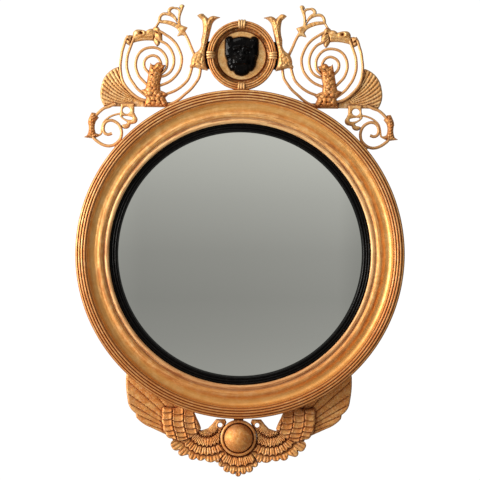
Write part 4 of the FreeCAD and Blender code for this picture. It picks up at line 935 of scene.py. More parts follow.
def mask_height(u, v, d):
    """Generic cat mask: brow, deep eyes, broad muzzle, round ears and a tufted edge."""
    w = np.abs(u)
    h = crown(d, 17, 1.5, 10) + formed(w, v, MASK_FORMS)
    turn = np.arctan2(v, u)
    tufts = ridges(turn * 12 / np.pi) * eased(d, 1, 5) * (1 - eased(d, 9, 15)) * (v < 0)
    spots = knobs(u, v, 10, 5) * eased(d, 6, 12) * (1 - mound(w, v, 0, -16, 12, 12))
    return h + 1.6 * tufts + 0.7 * spots


def tie_rib():
    """One half-round band bent over the roundel's ring, at the ring's right-hand side."""
    path = smooth_line(TIE_PATH, 6)
    vertices, faces = [], []
    for i, (r, d) in enumerate(path):
        tangent = path[min(i + 1, len(path) - 1)] - path[max(i - 1, 0)]
        out = np.array([tangent[1], -tangent[0]]) / np.linalg.norm(tangent)
        for k in range(RIB_POINTS):
            t = math.pi * k / (RIB_POINTS - 1)
            lift = out * (RIB_RISE * math.sin(t) - RIB_SINK)
            vertices.append(((r + lift[0]) * MM, -(d + lift[1]) * MM,
                             RIB_HALF_WIDTH * math.cos(t) * MM))
    for i in range(len(path) - 1):
        for k in range(RIB_POINTS):
            a, b = i * RIB_POINTS + k, i * RIB_POINTS + (k + 1) % RIB_POINTS
            faces.append([a, b, b + RIB_POINTS, a + RIB_POINTS])
    last = len(vertices) - RIB_POINTS
    faces += [list(range(RIB_POINTS)), list(range(last, last + RIB_POINTS))]
    return vertices, [], faces


class MIRROR_OT_roundel(bpy.types.Operator):
    """Reeded ring, dish, crossed ties, cat mask and foot"""
    bl_idname = "mirror.roundel"
    bl_label = "Roundel"

    def execute(self, context):
        sizes, look = settings()[0], finishes()
        turned("roundel_reeds", ROUNDEL_RING, "roundel_ring",
               look["apron_gilding"], ROUNDEL_Z)
        turned("roundel_disc", ROUNDEL_DISC, "roundel_dish",
               look["dish_gilding"], ROUNDEL_Z)
        turned("roundel_cove", ROUNDEL_COVE, "roundel_dish",
               look["cove_gilding"], ROUNDEL_Z)
        points = []
        for quarter in range(4):
            for rib in TIE_RIBS:
                turn = math.radians(90 * quarter + rib)
                points.append(((0, 0, ROUNDEL_Z * MM), (0, turn, 0), (1, 1, 1)))
        laid("tie_ribs", tie_rib(), points, "gilt_wood", ["ribbon_ties"],
             look["carved_gilding"])
        carved("leopard_mask", [MASK], (0, ROUNDEL_Z), DISC_FACE, mask_height,
               look["ebonised_carving"], sizes.fine_step / MM, paired=False)
        paint("roundel_foot", look["carved_gilding"])
        for side, _ in SIDES:
            paint(f"calyx_spine_{side}", look["ebonised_wood"])
        return {"FINISHED"}


# ---------------------------------------------------------------------------- crest

CREST = (171.8, 368.3)  # x and z of the origin of the crest's plans
BOARD = 14.0  # depth of the back of the carved boards, on the front of the straps
LOTUS_BACK, PETALS_BACK = 20.3, 20.5  # thin leaves in front of the rods' backs
CALYX = [
    (25, 98), via(17, 103), (10, 103), (-2, 92), via(-9, 97), (-17, 98), (-32, 94),
    via(-18, 86), (-11, 72), via(-6, 50), (1.5, 16), via(2.8, -2), (2, -19), (-3, -33),
    (-1, -38), (17, -34), (29, -30), (41, -32), via(43, -27), (40, -22), via(38, -6),
    (31, 6), via(20, 14), (15, 28), (15, 40), via(11, 70), (14, 88),
]
LOTUS = [
    (-23, 175), (-12, 172), (-17, 182), (-12, 190), via(2, 198), (19, 203), (33, 205), via(37, 198),
    (42, 192), (46, 192), via(40, 200), (36, 208), via(35, 217), (27, 228),
    via(19, 230), (12, 229), via(9, 241), (-4, 243), via(-13, 242), (-19, 239),
    via(-20, 249), (-28, 247), (-26, 243), (-22, 232), via(-18, 215), (-20, 199), (-36, 193),
    (-30, 184), (-36, 173), (-28, 174),
]
LOTUS_OPENINGS = [
    [(-12, 208), via(-6, 221), (6, 231), via(3, 238), (-7, 239), via(-13, 237), (-15, 230)],
    [(-12, 201), via(8, 209), (29, 210), via(29, 218), (22, 224), via(5, 221)],
]
ACANTHUS = [
    (115, 152), (119, 162), (115, 171), (107, 174), (99, 173), via(96, 184), (87, 188),
    via(76, 187), (66, 184), via(59, 189), (50, 190), via(42, 196), (33, 191), (30, 184),
    (26, 178), (25, 158), (31, 157), via(34, 149), (38, 146), via(43, 151), (48, 160),
    via(75, 160), (102, 153), (104, 146),
]
TRUNK = [
    (69, -5), (67, 11), (65, 18), (71, 28), (81, 36), (67, 41), via(64, 52), (62, 65),
    (59, 82), (57, 92), (54, 106), via(49, 100.5), (43, 101.5), via(36, 106.5), (29, 104.5),
    (25, 100.5), (17.5, 99.5), via(21.5, 91), (27, 80), (27, 68), (30, 56), (29, 37), (19, 33),
    (9, 27), (17, 19), (10, 4), (12, -5),
]
SHELL_FAN = [
    (134, 95), via(162, 78), (177, 45), via(178, 18), (169, -4), (68, -4), (68, 12),
    (91, 21), via(119, 53), (128, 80),
]
HUSK = [
    (200, -19), (191, -20), (182, -32), (189, -41), via(192, -56), (189, -70), (176, -75),
    (184, -80), (196, -84), (219, -81), (211, -76), via(207, -62), (209, -45), (208, -37),
    (204, -27),
]
PETALS = [
    (127, 3), (127, -14), (130, -23), (129, -29), (123, -35), (110, -43), (114, -48),
    (121, -49), (125, -51), (122, -57), via(114, -59), (105, -54), (103, -48), (93, -46),
    via(86, -38), (89, -29), (94, -19), (94, 3),
]
PETAL_OPENINGS = [
    [(123, -13.5), via(113, -4.5), (103, -13.5), via(113, -22.5)],
    [(124, -28), via(113, -27), (102, -29), via(97, -33), (98.5, -37), via(110, -37),
     (121, -32)],
]
STEM_INNER = [(-49.8, 98.7), (-44, 76), (-37, 61), (-22, 46), (-5, 35), (16, 27), (24, 24)]
RODS = {
    "stem_inner": STEM_INNER,
    "stem_outer": [(-70.8, 96.7), (-67, 71), (-57, 54), (-45, 39), (-30, 26), (-20, 17), (-5, 7),
                   (16, -1)],
    "coil_outer": [(110, 172), (116, 162), (120.5, 147), (124.5, 134), (127, 118), (129, 100),
                   (128, 81), (124, 62), (116, 47), (104, 33), (91, 22), (79, 15), (64, 11)],
    "coil_second": [(94, 169), (99, 158), (106, 139), (111, 124), (113, 109), (113, 94),
                    (110, 80), (104, 65), (96, 53), (86, 40), (70, 27), (60, 20)],
    "coil_third": [(50, 38), (62, 50), (72, 60), (82, 71), (88, 84), (91, 97), (90, 110),
                   (86, 122), (79, 132), (67, 140), (50, 143), (35, 140), (23, 131), (15, 118),
                   (13, 105), (16, 90), (30, 76), (38, 70)],
    "coil_inner": [(50, 72), (58, 80), (67, 90), (70, 99), (69, 109), (62, 118), (49, 123),
                   (37, 119), (30, 109), (28, 98), (34, 88)],
    "return_outer": [(48, 184), (34, 184), (16, 174), (3, 165), (-9, 152), (-18, 135),
                     (-23, 118), (-22, 101), (-17, 85), (-5, 69), (10, 57), (32, 48), (45, 44)],
    "return_inner": [(42, 170), (31, 160), (16, 152), (5, 140), (-2, 125), (-4, 110), (-2, 96),
                     (5, 83), (17, 74), (32, 70), (42, 68)],
}
LOTUS_STEM = [(-57.8, 118.7), (-46, 145), (-39, 162), (-31, 177), (-25, 188)]
SCROLL_MAIN = [
    (140, 2), (146, 0), (157, -5), (167.5, -8.5), (175, -13.5), (182, -20), (188, -27),
    (198, -40), (200.5, -54.5), (199, -69), (194, -82), (184, -91.5), (170.5, -99.5),
    (157, -102.5), (144.5, -100), (134.5, -93), (127, -83.5), (124.5, -71), (126, -60),
    (131, -50), (139, -43), (149, -39), (158.5, -40), (166, -45.5), (169.5, -54), (169.5, -64),
    (165, -71.5), (157, -74), (148.5, -71),
]
SCROLL_BRANCH = [
    (123, -23), (127, -22), (140, -24.5), (152.5, -29.5), (162, -36), (169.5, -44.5),
    (173, -55.5), (174.5, -66.5), (176, -73), (186, -79),
]
SCROLL_DOWEL = [(144.5, -100), (138, -105.5), (131, -111)]
ROD_DEPTH, SCROLL_DEPTH = 23.8, 24.4
FAN_HINGE = (64, 10)
FAN_RIB = 5.4  # degrees from one rib of the shell to the next
FAN_CURL = 0.24  # degrees that a rib turns for each millimetre from the hinge
LOTUS_FORMS = (
    (2.4, -26, 190, 6, 5),  # curl at the foot, and the cut over it
    (-1.6, -25, 197, 6, 1.3, -30),
    (2.5, -23, 246, 4, 4),  # curled tip
    (1.5, 40, 197, 3, 5),  # outer tip
)
ACANTHUS_FORMS = (
    (3, 90, 179, 5, 5),  # lobes of the upper edge
    (2.5, 57, 184, 7, 3, -10),
    (4, 37, 188, 6, 4, 40),  # upper curl at the inner end, and its cut
    (-3.5, 40, 181, 8, 1.3, 30),
    (3.5, 34, 172, 7, 4, 50),  # middle curl, and its cut
    (-3.5, 37, 163, 8, 1.3, 40),
    (3, 37, 152, 3, 6),  # lower curl, and the cut behind it
    (-3.5, 46, 168, 1.5, 8, 10),
    (3.5, 112, 168, 6, 3, 30),  # upper lobe of the outer end, and its cut
    (-3.5, 110, 162, 6, 1.6, 30),
    (2.5, 110, 155, 5, 3),  # lower lobe, and the cut behind both
    (-4, 101, 164, 1.8, 9, 12),
)
TRUNK_FORMS = (
    (4.5, 23, 96, 7, 6),  # leaf tips at the top
    (4.5, 53, 99, 5, 7),
    (4, 35, 99, 5, 6),
    (-3, 45, 98, 3, 5),  # gap between two tips
)
HUSK_FORMS = (
    (3, 198, -34, 9, 4),  # collar
    (3, 212, -80, 6, 3),  # tips
    (2.5, 183, -77, 6, 3),
)
PETAL_FORMS = (
    (-2.2, 112, -25.5, 10, 1.2),  # cuts between the petals
    (-2, 116, -46, 9, 1.1, 20),
    (1.5, 95, -37, 6, 6),  # swelling of the lower petal
    (-1.2, 110, 0, 12, 1.2),  # cut under the bar
)


def calyx_height(u, v, d):
    """Upright leaves in two tiers with a moulded collar between them."""
    middle = np.interp(v, [-36, -19, 6, 28, 60, 90], [19, 21, 17, 8, 4, -2])
    half = np.interp(v, [-36, 6, 22, 40, 70, 92], [22, 14, 9, 7, 8, 20])
    s = (u - middle) / half
    h = crown(d, 12, 7, 23)
    leaves = lapped((v + 44) / 24 + 0.5 * np.abs(s)) * 3 * eased(v, 24, -6)
    h += 1.8 * ridges(s * 1.5 + 0.5 + 0.006 * v) * eased(v, -40, -26) * eased(d, 0, 3) + leaves
    h += 1.5 * knobs(u, v, 8.5, 31) * eased(d, 1, 5) * eased(v, 30, 20)
    h += (1.2 * ridges(s * 2 + 0.5 * np.sin(v / 9)) + 1.3 * knobs(u, v, 6.5, 32)) * eased(
        v, 34, 46) * eased(d, 0, 3)
    h += 2.4 * np.exp(-(((v - 31) / 3.2) ** 2)) - 2.0 * np.exp(-(((v - 25) / 1.6) ** 2))
    return h + 5 * eased(v, 76, 96) * np.abs(s) ** 1.2


def lotus_height(u, v, d):
    """Rounded petals of the open palmette, ribbed across."""
    h = crown(d, 3.6, 1.6, 7.5) + formed(u, v, LOTUS_FORMS)
    along = (u + 26) * 0.66 + (v - 190) * 0.75
    return h - 1.2 * eased(d, 2.2, 3.4) * (1 - ridges(along / 9)) * (along > 4)


def acanthus_height(u, v, d):
    """Fluted leaf with a mid rib, one round eye and curled ends."""
    axis = np.interp(u, [25, 38, 50, 75, 100, 120], [168, 166, 170, 169, 161, 160])
    s = v - axis
    h = crown(d, 8, 5, 13)
    leaf = eased(u, 44, 52) * eased(u, 106, 98)
    h += 1.1 * ridges((v + 0.35 * u) / 7.5) * eased(s, 0, 3) * eased(d, 0, 3) * leaf
    h -= 1.4 * np.exp(-(((s + 2) / 1.5) ** 2)) * leaf
    eye = np.hypot(u - 78, (v - 179) * 1.3)
    h += 2.6 * np.exp(-(((eye - 8) / 3) ** 2)) - 5 * np.exp(-((eye / 3.4) ** 2))
    return h + formed(u, v, ACANTHUS_FORMS)


def trunk_height(u, v, d):
    """Lapped leaves that grow out of a rocky foot."""
    middle = np.interp(v, [-5, 36, 60, 104], [40, 48, 45, 40])
    s = u - middle
    h = crown(d, 15, 7, 19)
    leafy = 2.4 * lapped((v - 0.55 * np.abs(s)) / 15 + 0.3)
    leafy += 2.0 * knobs(u, v, 7.6, 21) * eased(d, 0, 3)
    leafy -= 2.6 * mound(u, v, 38, 85, 9, 3) - 1.5 * np.exp(-(((v - 78) / 2.6) ** 2))
    rocks = 3.2 * knobs(u, v, 11, 11) + 1.0 * knobs(u, v, 6, 12)
    low = eased(v, 40, 30)
    h += leafy * (1 - low) + rocks * low * eased(d, 0.5, 3)
    return h + formed(u, v, TRUNK_FORMS)


def fan_height(u, v, d):
    """Ribs of the shell, spread from its hinge, with faint growth lines near the rim."""
    rib_depth = settings()[0].rib_depth / MM
    x, y = u - FAN_HINGE[0], v - FAN_HINGE[1]
    reach = np.hypot(x, y)
    angle = np.degrees(np.arctan2(y, x)) - FAN_CURL * (reach - 50)
    ribs = ridges(angle / FAN_RIB) * eased(reach, 12, 45)
    ladder = 0.4 * ridges(reach / 7 + 0.5) * eased(reach, 60, 80)
    rim = crown(d, 4, 2.5, 4.2)
    return rim + (rib_depth * ribs + ladder) * eased(d, 0, 3) + 3.0 * eased(reach, 40, 5)


def husk_height(u, v, d):
    """Lapped leaves that hang from a collar."""
    middle = np.interp(v, [-84, -60, -40, -20], [197, 198, 199, 196])
    s = u - middle
    h = crown(d, 9, 4, 15)
    h += 2.6 * lapped((v - 0.7 * np.abs(s)) / -7.5) * eased(d, 0.5, 3)
    return h + ridges(s / 4.5) * eased(d, 1, 4) + formed(u, v, HUSK_FORMS)


def petal_height(u, v, d):
    """Rounded petals with cuts between them."""
    return crown(d, 4.5, 2, 7) + formed(u, v, PETAL_FORMS)


def rod(name, pairs, radius, depth, slot, nodes, side, sign):
    """Bent rod of one side of the crest, through pairs of (u, v)."""
    line = smooth_line(pairs)
    points = [(sign * (u + CREST[0]) * MM, -depth * MM, (v + CREST[1]) * MM) for u, v in line]
    edges = [(k, k + 1) for k in range(len(points) - 1)]
    piece = new_object(f"{name}_{side}", points, edges, [])
    grown(piece, tree_of(rod_tree), radius=radius, finish=finishes()["rod_gilding"])
    finished(piece, nodes, crease=50)


class MIRROR_OT_crest(bpy.types.Operator):
    """Calyx, palmette, acanthus, trunk, shell fan, husk and petal loops of both sides"""
    bl_idname = "mirror.crest"
    bl_label = "Crest carvings"

    def execute(self, context):
        sizes, look = settings()[0], finishes()
        gilt, fine = look["carved_gilding"], sizes.fine_step / MM
        coarse = sizes.carving_step / MM
        carved("calyx", [CALYX], (ROUNDEL_RADIUS, ROUNDEL_Z), BOARD, calyx_height,
               gilt, fine)
        carved("lotus_leaf", [LOTUS] + LOTUS_OPENINGS, CREST, LOTUS_BACK, lotus_height,
               gilt, fine, grow=1.1)
        carved("acanthus", [ACANTHUS], CREST, BOARD, acanthus_height, gilt, fine)
        carved("leafy_trunk", [TRUNK], CREST, BOARD, trunk_height,
               look["apron_gilding"], fine)
        carved("shell_fan", [SHELL_FAN], CREST, BOARD, fan_height, gilt, coarse)
        carved("scroll_husk", [HUSK], CREST, BOARD, husk_height,
               look["apron_gilding"], fine)
        carved("petal_loops", [PETALS] + PETAL_OPENINGS, CREST, PETALS_BACK, petal_height,
               gilt, fine, grow=0.6)
        for side, _ in SIDES:
            paint(f"crest_bar_{side}", gilt)
        return {"FINISHED"}


class MIRROR_OT_rods(bpy.types.Operator):
    """Coiled rods, lower scrolls and palmette stems of both sides"""
    bl_idname = "mirror.rods"
    bl_label = "Scroll rods"

    def execute(self, context):
        sizes = settings()[0]
        for side, sign in SIDES:
            for name, pairs in RODS.items():
                rod(name, pairs, sizes.rod_radius, ROD_DEPTH, "gilt_iron",
                    [f"scroll_rods_{side}"], side, sign)
            rod("palmette_stem", LOTUS_STEM, sizes.rod_radius, ROD_DEPTH, "gilt_wood", [], side,
                sign)
            rod("scroll_main", SCROLL_MAIN, sizes.scroll_radius, SCROLL_DEPTH, "gilt_iron",
                [f"lower_scroll_{side}"], side, sign)
            for name, pairs in (("scroll_branch", SCROLL_BRANCH), ("scroll_dowel", SCROLL_DOWEL)):
                rod(name, pairs, sizes.branch_radius, SCROLL_DEPTH, "gilt_iron", [], side, sign)
        return {"FINISHED"}


# ---------------------------------------------------------------------------- apron

APRON = (0, -FACE_OUTER)  # x and z of the origin of the apron's plans
CORE_CLEAR, ORB_CLEAR = 401.2, 45.3  # radii of the core and the orb's ring, with a fit
WING_BACK = 4.0  # depth of the back of the wing boards
WING_BOARD = [
    (272, 140), (281, 104), via(281, 74), (277, 42), via(270, 21), (257, 8), (255, -2),
    via(240, -16), (219, -27), (180, -45), (168, -50), (158, -68), (140, -84), (115, -92),
    (92, -97), (62, -98), (52, -88), (60, -44), (92, -36), (102, -17), (107, -3), (117, 8),
    (134, 14), (140, 55),
]
COVERTS = [
    (187, 25), via(191, 12), (189, 4), via(191, -8), (187, -20), via(187, -32), (181, -40),
    via(176, -50), (165, -53), (152, -57.5), via(132, -54.5), (115, -46.5), (98, -34),
    (93, -27), via(98, -14), (104, -2), (109, 10), (113, 24), (135, 34), (146, 27), (158, 22),
]
LOWER_FEATHERS = [
    (100, -34), (115, -47), via(132, -55), (151, -58), via(167, -62), (166, -75),
    via(158, -83), (147, -81), via(148, -93), (136, -96), (124, -93), via(120, -104),
    (104, -101), via(96, -108), (84, -103), via(72, -112), (58, -108), via(54, -112),
    (46, -106), (36, -94), (26, -84), (30, -50), (36, -26), (30, -12), (33, -4), (56, -4),
    (66, -17), (76, -27), (88, -31),
]
NECK_OPENING = [(40.3, -18.7), via(46, -24.4), (51.7, -18.7), via(46, -13)]
TAIL = [
    (48, -110), via(47, -121), (36, -122), via(34, -134), (21, -134), via(11, -141),
    (5, -135), via(0, -147), (-5, -135), via(-11, -141), (-21, -134), via(-34, -134),
    (-36, -122), via(-47, -121), (-48, -110), (-36, -92), (-30, -80), (30, -80), (36, -92),
]
WING_PIVOT = (105, -61)
FEATHER_ANGLES = [-10, 4, 9.5, 14.5, 19.5, 24.5, 29.5, 35, 41.5, 49, 58, 70, 85, 110]
COVERT_COLUMNS = [80, 108, 136, 164, 200]
COVERT_SEAM = ([88, 100, 115, 132, 151, 168], [-30, -34, -46.5, -54.5, -57.5, -61.5])
FAN_APEX = (78, -19)
LOWER_ROWS = [0, 26, 50, 72, 120]
TAIL_APEX = (0, -50)
TAIL_ROWS = [0, 44, 68, 110]


def wing_height(u, v, d):
    """Long feathers that lap downwards, each with a quill line."""
    drop = settings()[0].feather_depth / MM
    angle = np.degrees(np.arctan2(v - WING_PIVOT[1], u - WING_PIVOT[0]))
    place = np.interp(angle, FEATHER_ANGLES, np.arange(len(FEATHER_ANGLES)))
    across = place - np.floor(place)
    feather = np.sin(np.pi * np.clip(1 - across, 0, 1) ** 0.7 * 0.62)
    quill = np.exp(-(((across - 0.45) / 0.06) ** 2))
    edge = crown(d, 4, 0.55, 1)
    return (10 - drop * (1 - feather) - 0.5 * quill) * edge


def seam_share(u, v):
    """One along the seam between the coverts and the lower feathers, nothing away from it."""
    away = np.abs(v - np.interp(u, *COVERT_SEAM))
    return eased(away, 7, 3) * eased(u, 172, 168) * eased(u, 92, 97)


def covert_height(u, v, d):
    """Columns of short feathers laid like roof tiles."""
    depth = settings()[0].scale_depth / MM
    q = u + 15 * eased(-v, 5, 75)
    column = np.clip(np.searchsorted(COVERT_COLUMNS, q) - 1, 0, len(COVERT_COLUMNS) - 2)
    low, high = np.take(COVERT_COLUMNS, column), np.take(COVERT_COLUMNS, column + 1)
    s = np.abs(2 * np.clip((q - low) / (high - low), 0, 1) - 1)
    row = (v + 2 - 4.3 * column - 3.5 * s * s) / np.interp(v, [-60, 0], [13, 17.5])
    d = np.maximum(d, 5 * seam_share(u, v))
    rim = eased(s, 0.5, 0.8) * eased(s, 1.0, 0.86)
    f = -row - np.floor(-row)
    lap = f ** 1.4 * (1 - np.clip((f - 0.86) / 0.14, 0, 1) ** 2)
    tile = 2.0 + 1.25 * depth * (lap - 0.25) + 0.7 * rim
    sides = 0.5 + 0.5 * eased(1 - s, 0, 0.16)
    return crown(d, 6, 6, 10) + 0.5 * column + tile * sides * eased(d, 0, 3)


def rayed(u, v, apex, rows, ray, lobe):
    """Lapped rows of short ribbed feathers that spread from an apex. Rows are radii from it;
    a rib takes ray degrees and a feather lobe degrees."""
    depth = settings()[0].scale_depth / MM
    x, y = u - apex[0], v - apex[1]
    reach, angle = np.hypot(x, y), np.degrees(np.arctan2(y, x))
    scallop = 5 * np.abs(np.sin(np.pi * angle / lobe))
    place = np.interp(reach + scallop - 5, rows, np.arange(len(rows)))
    row = np.floor(place)
    t = place - row
    shift = row * lobe / 2
    ribs = ridges((angle + shift) / ray)
    tips = ridges((angle + shift) / lobe)
    step = t ** 0.7 * (1 - np.clip((t - 0.88) / 0.12, 0, 1) ** 2)
    fall = 1.6 * (len(rows) - 2 - row)
    return fall + 0.8 * depth * step + 2.0 * ribs * eased(t, 0.0, 0.3) + 0.8 * tips * t


def lower_height(u, v, d):
    """Rows of feathers below the neck, and a smooth neck round its small opening."""
    d = np.maximum(d, 4 * seam_share(u, v))
    h = crown(d, 3, 3, 4.5) + 2.5 * eased(v, -66, -54) * eased(d, 3, 0)
    feathers = rayed(u, v, FAN_APEX, LOWER_ROWS, 5.6, 11.2)
    neck = eased(v, -34, -24)
    smooth = 4 + 2.5 * mound(u, v, 62, -24, 14, 9) + 2 * mound(u, v, 45, -8, 12, 4)
    ring = np.exp(-(((np.hypot(u - 46, v + 18.7) - 8) / 1.8) ** 2))
    return h + (feathers * (1 - neck) + (smooth + 1.5 * ring) * neck) * eased(d, 0, 2.5)


def tail_height(u, v, d):
    """Rows of feathers that spread down from behind the orb."""
    feathers = rayed(u, v, TAIL_APEX, TAIL_ROWS, 5.0, 15.0)
    return crown(d, 3, 2.5, 3.5) + feathers * eased(d, 0, 2.5)


class MIRROR_OT_apron(bpy.types.Operator):
    """Wings, short feathers, lower feathers, tail and orb"""
    bl_idname = "mirror.apron"
    bl_label = "Apron"

    def execute(self, context):
        sizes, look = settings()[0], finishes()
        gilt, coarse, fine = look["apron_gilding"], sizes.carving_step / MM, sizes.fine_step / MM
        carved("wing_board", [WING_BOARD], APRON, WING_BACK, wing_height, gilt,
               coarse)
        core, ring = (0, -APRON[1], CORE_CLEAR), (0, ORB_Z - APRON[1], ORB_CLEAR)
        carved("wing_coverts", [COVERTS], APRON, BOARD, covert_height, gilt, fine,
               clear=[core])
        carved("lower_feathers", [LOWER_FEATHERS, NECK_OPENING], APRON, BOARD, lower_height,
               gilt, fine, clear=[ring])
        carved("tail_feathers", [TAIL], APRON, BOARD, tail_height, gilt, fine,
               paired=False, clear=[ring])
        turned("orb_rim", ORB_RING, "orb_ring", look["apron_gilding"], ORB_Z)
        turned("orb_ball", ORB, "orb", look["burnished_gilding"], ORB_Z)
        return {"FINISHED"}


# ---------------------------------------------------------------------------- back

SCREW_HEAD = 3.3  # radius of the head
SCREW_LIFT = 1.7  # height of the head
SLOT_HALF_WIDTH, SLOT_DEPTH = 0.55, 0.7

# Depths that the screw heads sit at, and where the screws are.
PLANK_SEAT, STRAP_SEAT, HANGER_SEAT = 2.0, 11.0, 12.2
PLANK_SCREW_CIRCLE = (320 + 331.5) / 2
HANGER_PIVOT, HANGER_ANGLE = 385, 29.5  # radius, and degrees up from the middle
HANGER_SCREW_DROPS = (14, 44)
STRAP_SCREW_HEIGHTS = (366, 392, 449, 523, -366, -386, ORB_Z + 14, ORB_Z - 14)
CREST_SCREW_HEIGHT, CREST_SCREW_PLACES = 370.3, (125.8, 143.8, 187.8, 243.8)
WING_SCREW_CIRCLE, WING_SCREW_ANGLES = 379.5, (49, 56.5, 64)


def slotted_head():
    """Cheese head with a sawn slot, its face towards +Y and its seat at the origin."""
    low = SCREW_LIFT - SLOT_DEPTH
    vertices, faces = [], []

    def drum(points, bottom, top):
        """Upright prism over the points."""
        start = len(vertices)
        count = len(points)
        for y in (bottom, top):
            vertices.extend(((x * MM, y * MM, z * MM) for x, z in points))
        faces.append([start + k for k in range(count)])
        faces.append([start + count + k for k in range(count)])
        for k in range(count):
            j = (k + 1) % count
            faces.append([start + k, start + j, start + count + j, start + count + k])

    ring = [(SCREW_HEAD * math.cos(t), SCREW_HEAD * math.sin(t))
            for t in np.linspace(0, 2 * math.pi, 24, endpoint=False)]
    drum(ring, 0, low)
    edge = math.asin(SLOT_HALF_WIDTH / SCREW_HEAD)
    for sign in (1, -1):
        half = [(SCREW_HEAD * math.cos(t), sign * SCREW_HEAD * math.sin(t))
                for t in np.linspace(edge, math.pi - edge, 12)]
        drum(half, low - 0.01, SCREW_LIFT)
    return vertices, [], faces


def on_circle(radius, degrees):
    """Place on a circle round the middle of the frame."""
    return radius * math.cos(math.radians(degrees)), radius * math.sin(math.radians(degrees))


def screw_places():
    """Places of the screws as in the part's source: (x, z, depth of the seat)."""
    planks = [(*on_circle(PLANK_SCREW_CIRCLE, a), PLANK_SEAT) for a in range(15, 360, 30)]
    x, z = on_circle(HANGER_PIVOT, HANGER_ANGLE)
    hangers = [(s * x, z - drop, HANGER_SEAT) for s in (1, -1) for drop in HANGER_SCREW_DROPS]
    fittings = [(0, z, STRAP_SEAT) for z in STRAP_SCREW_HEIGHTS]
    fittings += [(s * x, CREST_SCREW_HEIGHT, STRAP_SEAT) for s in (1, -1)
                 for x in CREST_SCREW_PLACES]
    wings = [on_circle(WING_SCREW_CIRCLE, -a) for a in WING_SCREW_ANGLES]
    fittings += [(s * x, z, WING_BACK) for s in (1, -1) for x, z in wings]
    return {"plank_screws": planks, "hanger_screws": hangers, "fitting_screws": fittings}


class MIRROR_OT_back(bpy.types.Operator):
    """Felloes, boards, straps, screws and D rings"""
    bl_idname = "mirror.back"
    bl_label = "Back"

    def execute(self, context):
        look = finishes()
        for k in range(1, 7):
            paint(f"core_felloe_{k}", look["felloe_pine"])
        for label in ("lower", "middle", "upper"):
            paint(f"back_plank_{label}", look["board_pine"])
        paint("glazing_blocks", look["board_pine"])
        for label in ("roundel_strap", "apron_strap", "crest_strap_left", "crest_strap_right"):
            paint(label, look["black_iron"])
        for side, _ in SIDES:
            paint(f"hanger_strap_{side}", look["dull_brass"])
            paint(f"hanger_ring_{side}", look["dull_brass"])
        rng = np.random.default_rng(3)  # each slot stands as the screwdriver left it
        for node, places in screw_places().items():
            points = [((x * MM, -depth * MM, z * MM), (0, rng.uniform(0, math.pi), 0), (1, 1, 1))
                      for x, z, depth in places]
            laid(node.replace("screws", "screw_heads"), slotted_head(), points, "screw_steel",
                 [node], look["plain_steel"])
        return {"FINISHED"}


# ---------------------------------------------------------------------------- stage

PHOTO_SIDE = 480
PHOTO_SCALE = 2.472  # millimetres of the frame's face to one pixel of the photograph
PHOTO_MIDDLE = (-0.3, 35.1)  # x and z at the middle of the photograph
PHOTO_TURN = 0.48  # degrees that the photograph shows the object turned clockwise
FACE_DEPTH = 0.045  # metres, the depth that the photograph's scale holds for
CAMERA_DISTANCE = 5.0  # metres from there
SENSOR = 36.0
FLOOR_HALF, FLOOR_DROP = 3, 0.45  # metres; the floor lies this far below the mirror

# Brightness of the room by height and from left to right; the second is halved.
ROOM_HEIGHT = [(0.0, 0.2), (0.19, 0.43), (0.265, 0.42), (0.33, 0.375), (0.405, 0.345), (0.5, 0.385),
               (0.61, 0.5), (0.67, 0.585), (0.73, 0.665), (0.82, 0.66), (0.9, 0.35), (1.0, 0.2)]
ROOM_SIDE = [(0.0, 0.8), (0.15, 0.62), (0.3, 0.47), (0.5, 0.5), (0.7, 0.545), (0.8, 0.36),
             (0.9, 0.1)]


def area_light(name, place, size, watts, tint):
    """Round light aimed at the middle of the frame."""
    light = bpy.data.lights.new(name, "AREA")
    light.shape = "DISK"
    light.size = size
    light.energy = watts
    light.color = tint
    lamp = bpy.data.objects.new(name, light)
    lamp.location = place
    lamp.rotation_euler = (-Vector(place)).to_track_quat("-Z", "Y").to_euler()
    bpy.context.scene.collection.objects.link(lamp)


def studio_world():
    """White behind the object, and a dimmer room behind the camera that the glass reflects."""
    world = bpy.data.worlds.new("Studio")
    bpy.context.scene.world = world
    world.use_nodes = True
    tree = world.node_tree
    tree.nodes.clear()
    where = add(tree, "ShaderNodeTexCoord").outputs["Generated"]
    parts = add(tree, "ShaderNodeSeparateXYZ", {0: where}).outputs
    greys = []
    for along, stops in ((parts[2], ROOM_HEIGHT), (parts[0], ROOM_SIDE)):
        share = add(tree, "ShaderNodeMapRange", {"Value": along, "From Min": -1.0}).outputs[0]
        node = add(tree, "ShaderNodeValToRGB", {0: share})
        ramp = node.color_ramp
        while len(ramp.elements) < len(stops):
            ramp.elements.new(0.5)
        for element, (at, grey) in zip(ramp.elements, stops):
            element.position = at
            element.color = (grey, grey, grey * 0.98, 1)
        greys.append(node.outputs[0])
    room = add(tree, "ShaderNodeVectorMath", {0: greys[0], 1: greys[1]}, operation="MULTIPLY")
    room = add(tree, "ShaderNodeVectorMath", {0: room.outputs[0], 3: 2.0}, operation="SCALE")
    sky = coated(tree, room.outputs[0], ((parts[1], 0.9, 0.96, 1.0, (1.05, 1.05, 1.05)),))
    glow = add(tree, "ShaderNodeBackground", {"Color": sky, "Strength": 1.0})
    add(tree, "ShaderNodeOutputWorld", {"Surface": glow.outputs[0]})


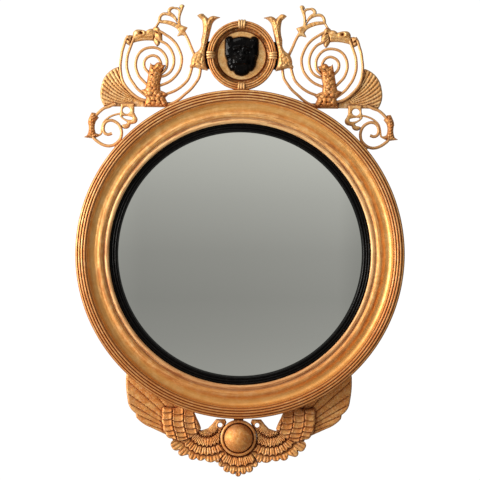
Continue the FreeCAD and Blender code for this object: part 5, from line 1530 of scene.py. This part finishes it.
class MIRROR_OT_stage(bpy.types.Operator):
    """Camera, studio light and pale floor"""
    bl_idname = "mirror.stage"
    bl_label = "Stage"

    def execute(self, context):
        scene = context.scene
        scene.view_settings.view_transform = "Standard"
        lens = bpy.data.cameras.new("Camera")
        lens.sensor_width = SENSOR
        lens.lens = SENSOR * CAMERA_DISTANCE / (PHOTO_SIDE * PHOTO_SCALE * MM)
        lens.clip_end = 50
        camera = bpy.data.objects.new("Camera", lens)
        camera.location = (PHOTO_MIDDLE[0] * MM, -FACE_DEPTH - CAMERA_DISTANCE,
                           PHOTO_MIDDLE[1] * MM)
        camera.rotation_euler = (math.radians(90), math.radians(-PHOTO_TURN), 0)
        scene.collection.objects.link(camera)
        scene.camera = camera
        studio_world()
        area_light("Key", (-3.1, -1.7, 0.4), 1.8, 152, (1.0, 0.97, 0.93))
        area_light("Top", (-0.6, -1.8, 3.2), 1.2, 18, (1.0, 0.98, 0.95))
        level = CAD_BOX[0].z - FLOOR_DROP
        corners = [(x * FLOOR_HALF, y * FLOOR_HALF, level)
                   for x, y in ((-1, -1), (1, -1), (1, 1), (-1, 1))]
        floor = new_object("floor", corners, [], [(0, 1, 2, 3)])
        material, tree, *_ = new_material("pale_floor")
        shader = add(tree, "ShaderNodeBsdfPrincipled", {"Base Color": (0.7, 0.7, 0.7, 1),
                                                        "Roughness": 0.9})
        add(tree, "ShaderNodeOutputMaterial", {"Surface": shader.outputs[0]})
        floor.data.materials.append(material)
        floor.visible_glossy = False
        return {"FINISHED"}


# ---------------------------------------------------------------------------- add-on

OPERATORS = (MIRROR_OT_stage, MIRROR_OT_round_frame, MIRROR_OT_roundel, MIRROR_OT_crest,
             MIRROR_OT_rods, MIRROR_OT_apron, MIRROR_OT_back)


class MIRROR_PT_panel(bpy.types.Panel):
    """Lists the sizes, the colours and the pieces"""
    bl_label = "Girandole mirror"
    bl_idname = "MIRROR_PT_panel"
    bl_space_type = "VIEW_3D"
    bl_region_type = "UI"
    bl_category = "Girandole"

    def draw(self, context):
        for group in (context.scene.mirror_sizes, context.scene.mirror_finish):
            for name in group.__annotations__:
                self.layout.prop(group, name)
        for operator in OPERATORS:
            self.layout.operator(operator.bl_idname)


CLASSES = (MirrorSizes, MirrorFinish, *OPERATORS, MIRROR_PT_panel)


def register():
    """Register the classes and the scene's settings."""
    for item in CLASSES:
        bpy.utils.register_class(item)
    bpy.types.Scene.mirror_sizes = PointerProperty(type=MirrorSizes)
    bpy.types.Scene.mirror_finish = PointerProperty(type=MirrorFinish)


def unregister():
    """Take the settings and the classes away again."""
    del bpy.types.Scene.mirror_finish
    del bpy.types.Scene.mirror_sizes
    for item in reversed(CLASSES):
        bpy.utils.unregister_class(item)


def main():
    register()
    for operator in OPERATORS:
        group, name = operator.bl_idname.split(".")
        getattr(getattr(bpy.ops, group), name)()


if __name__ == "__main__":
    main()
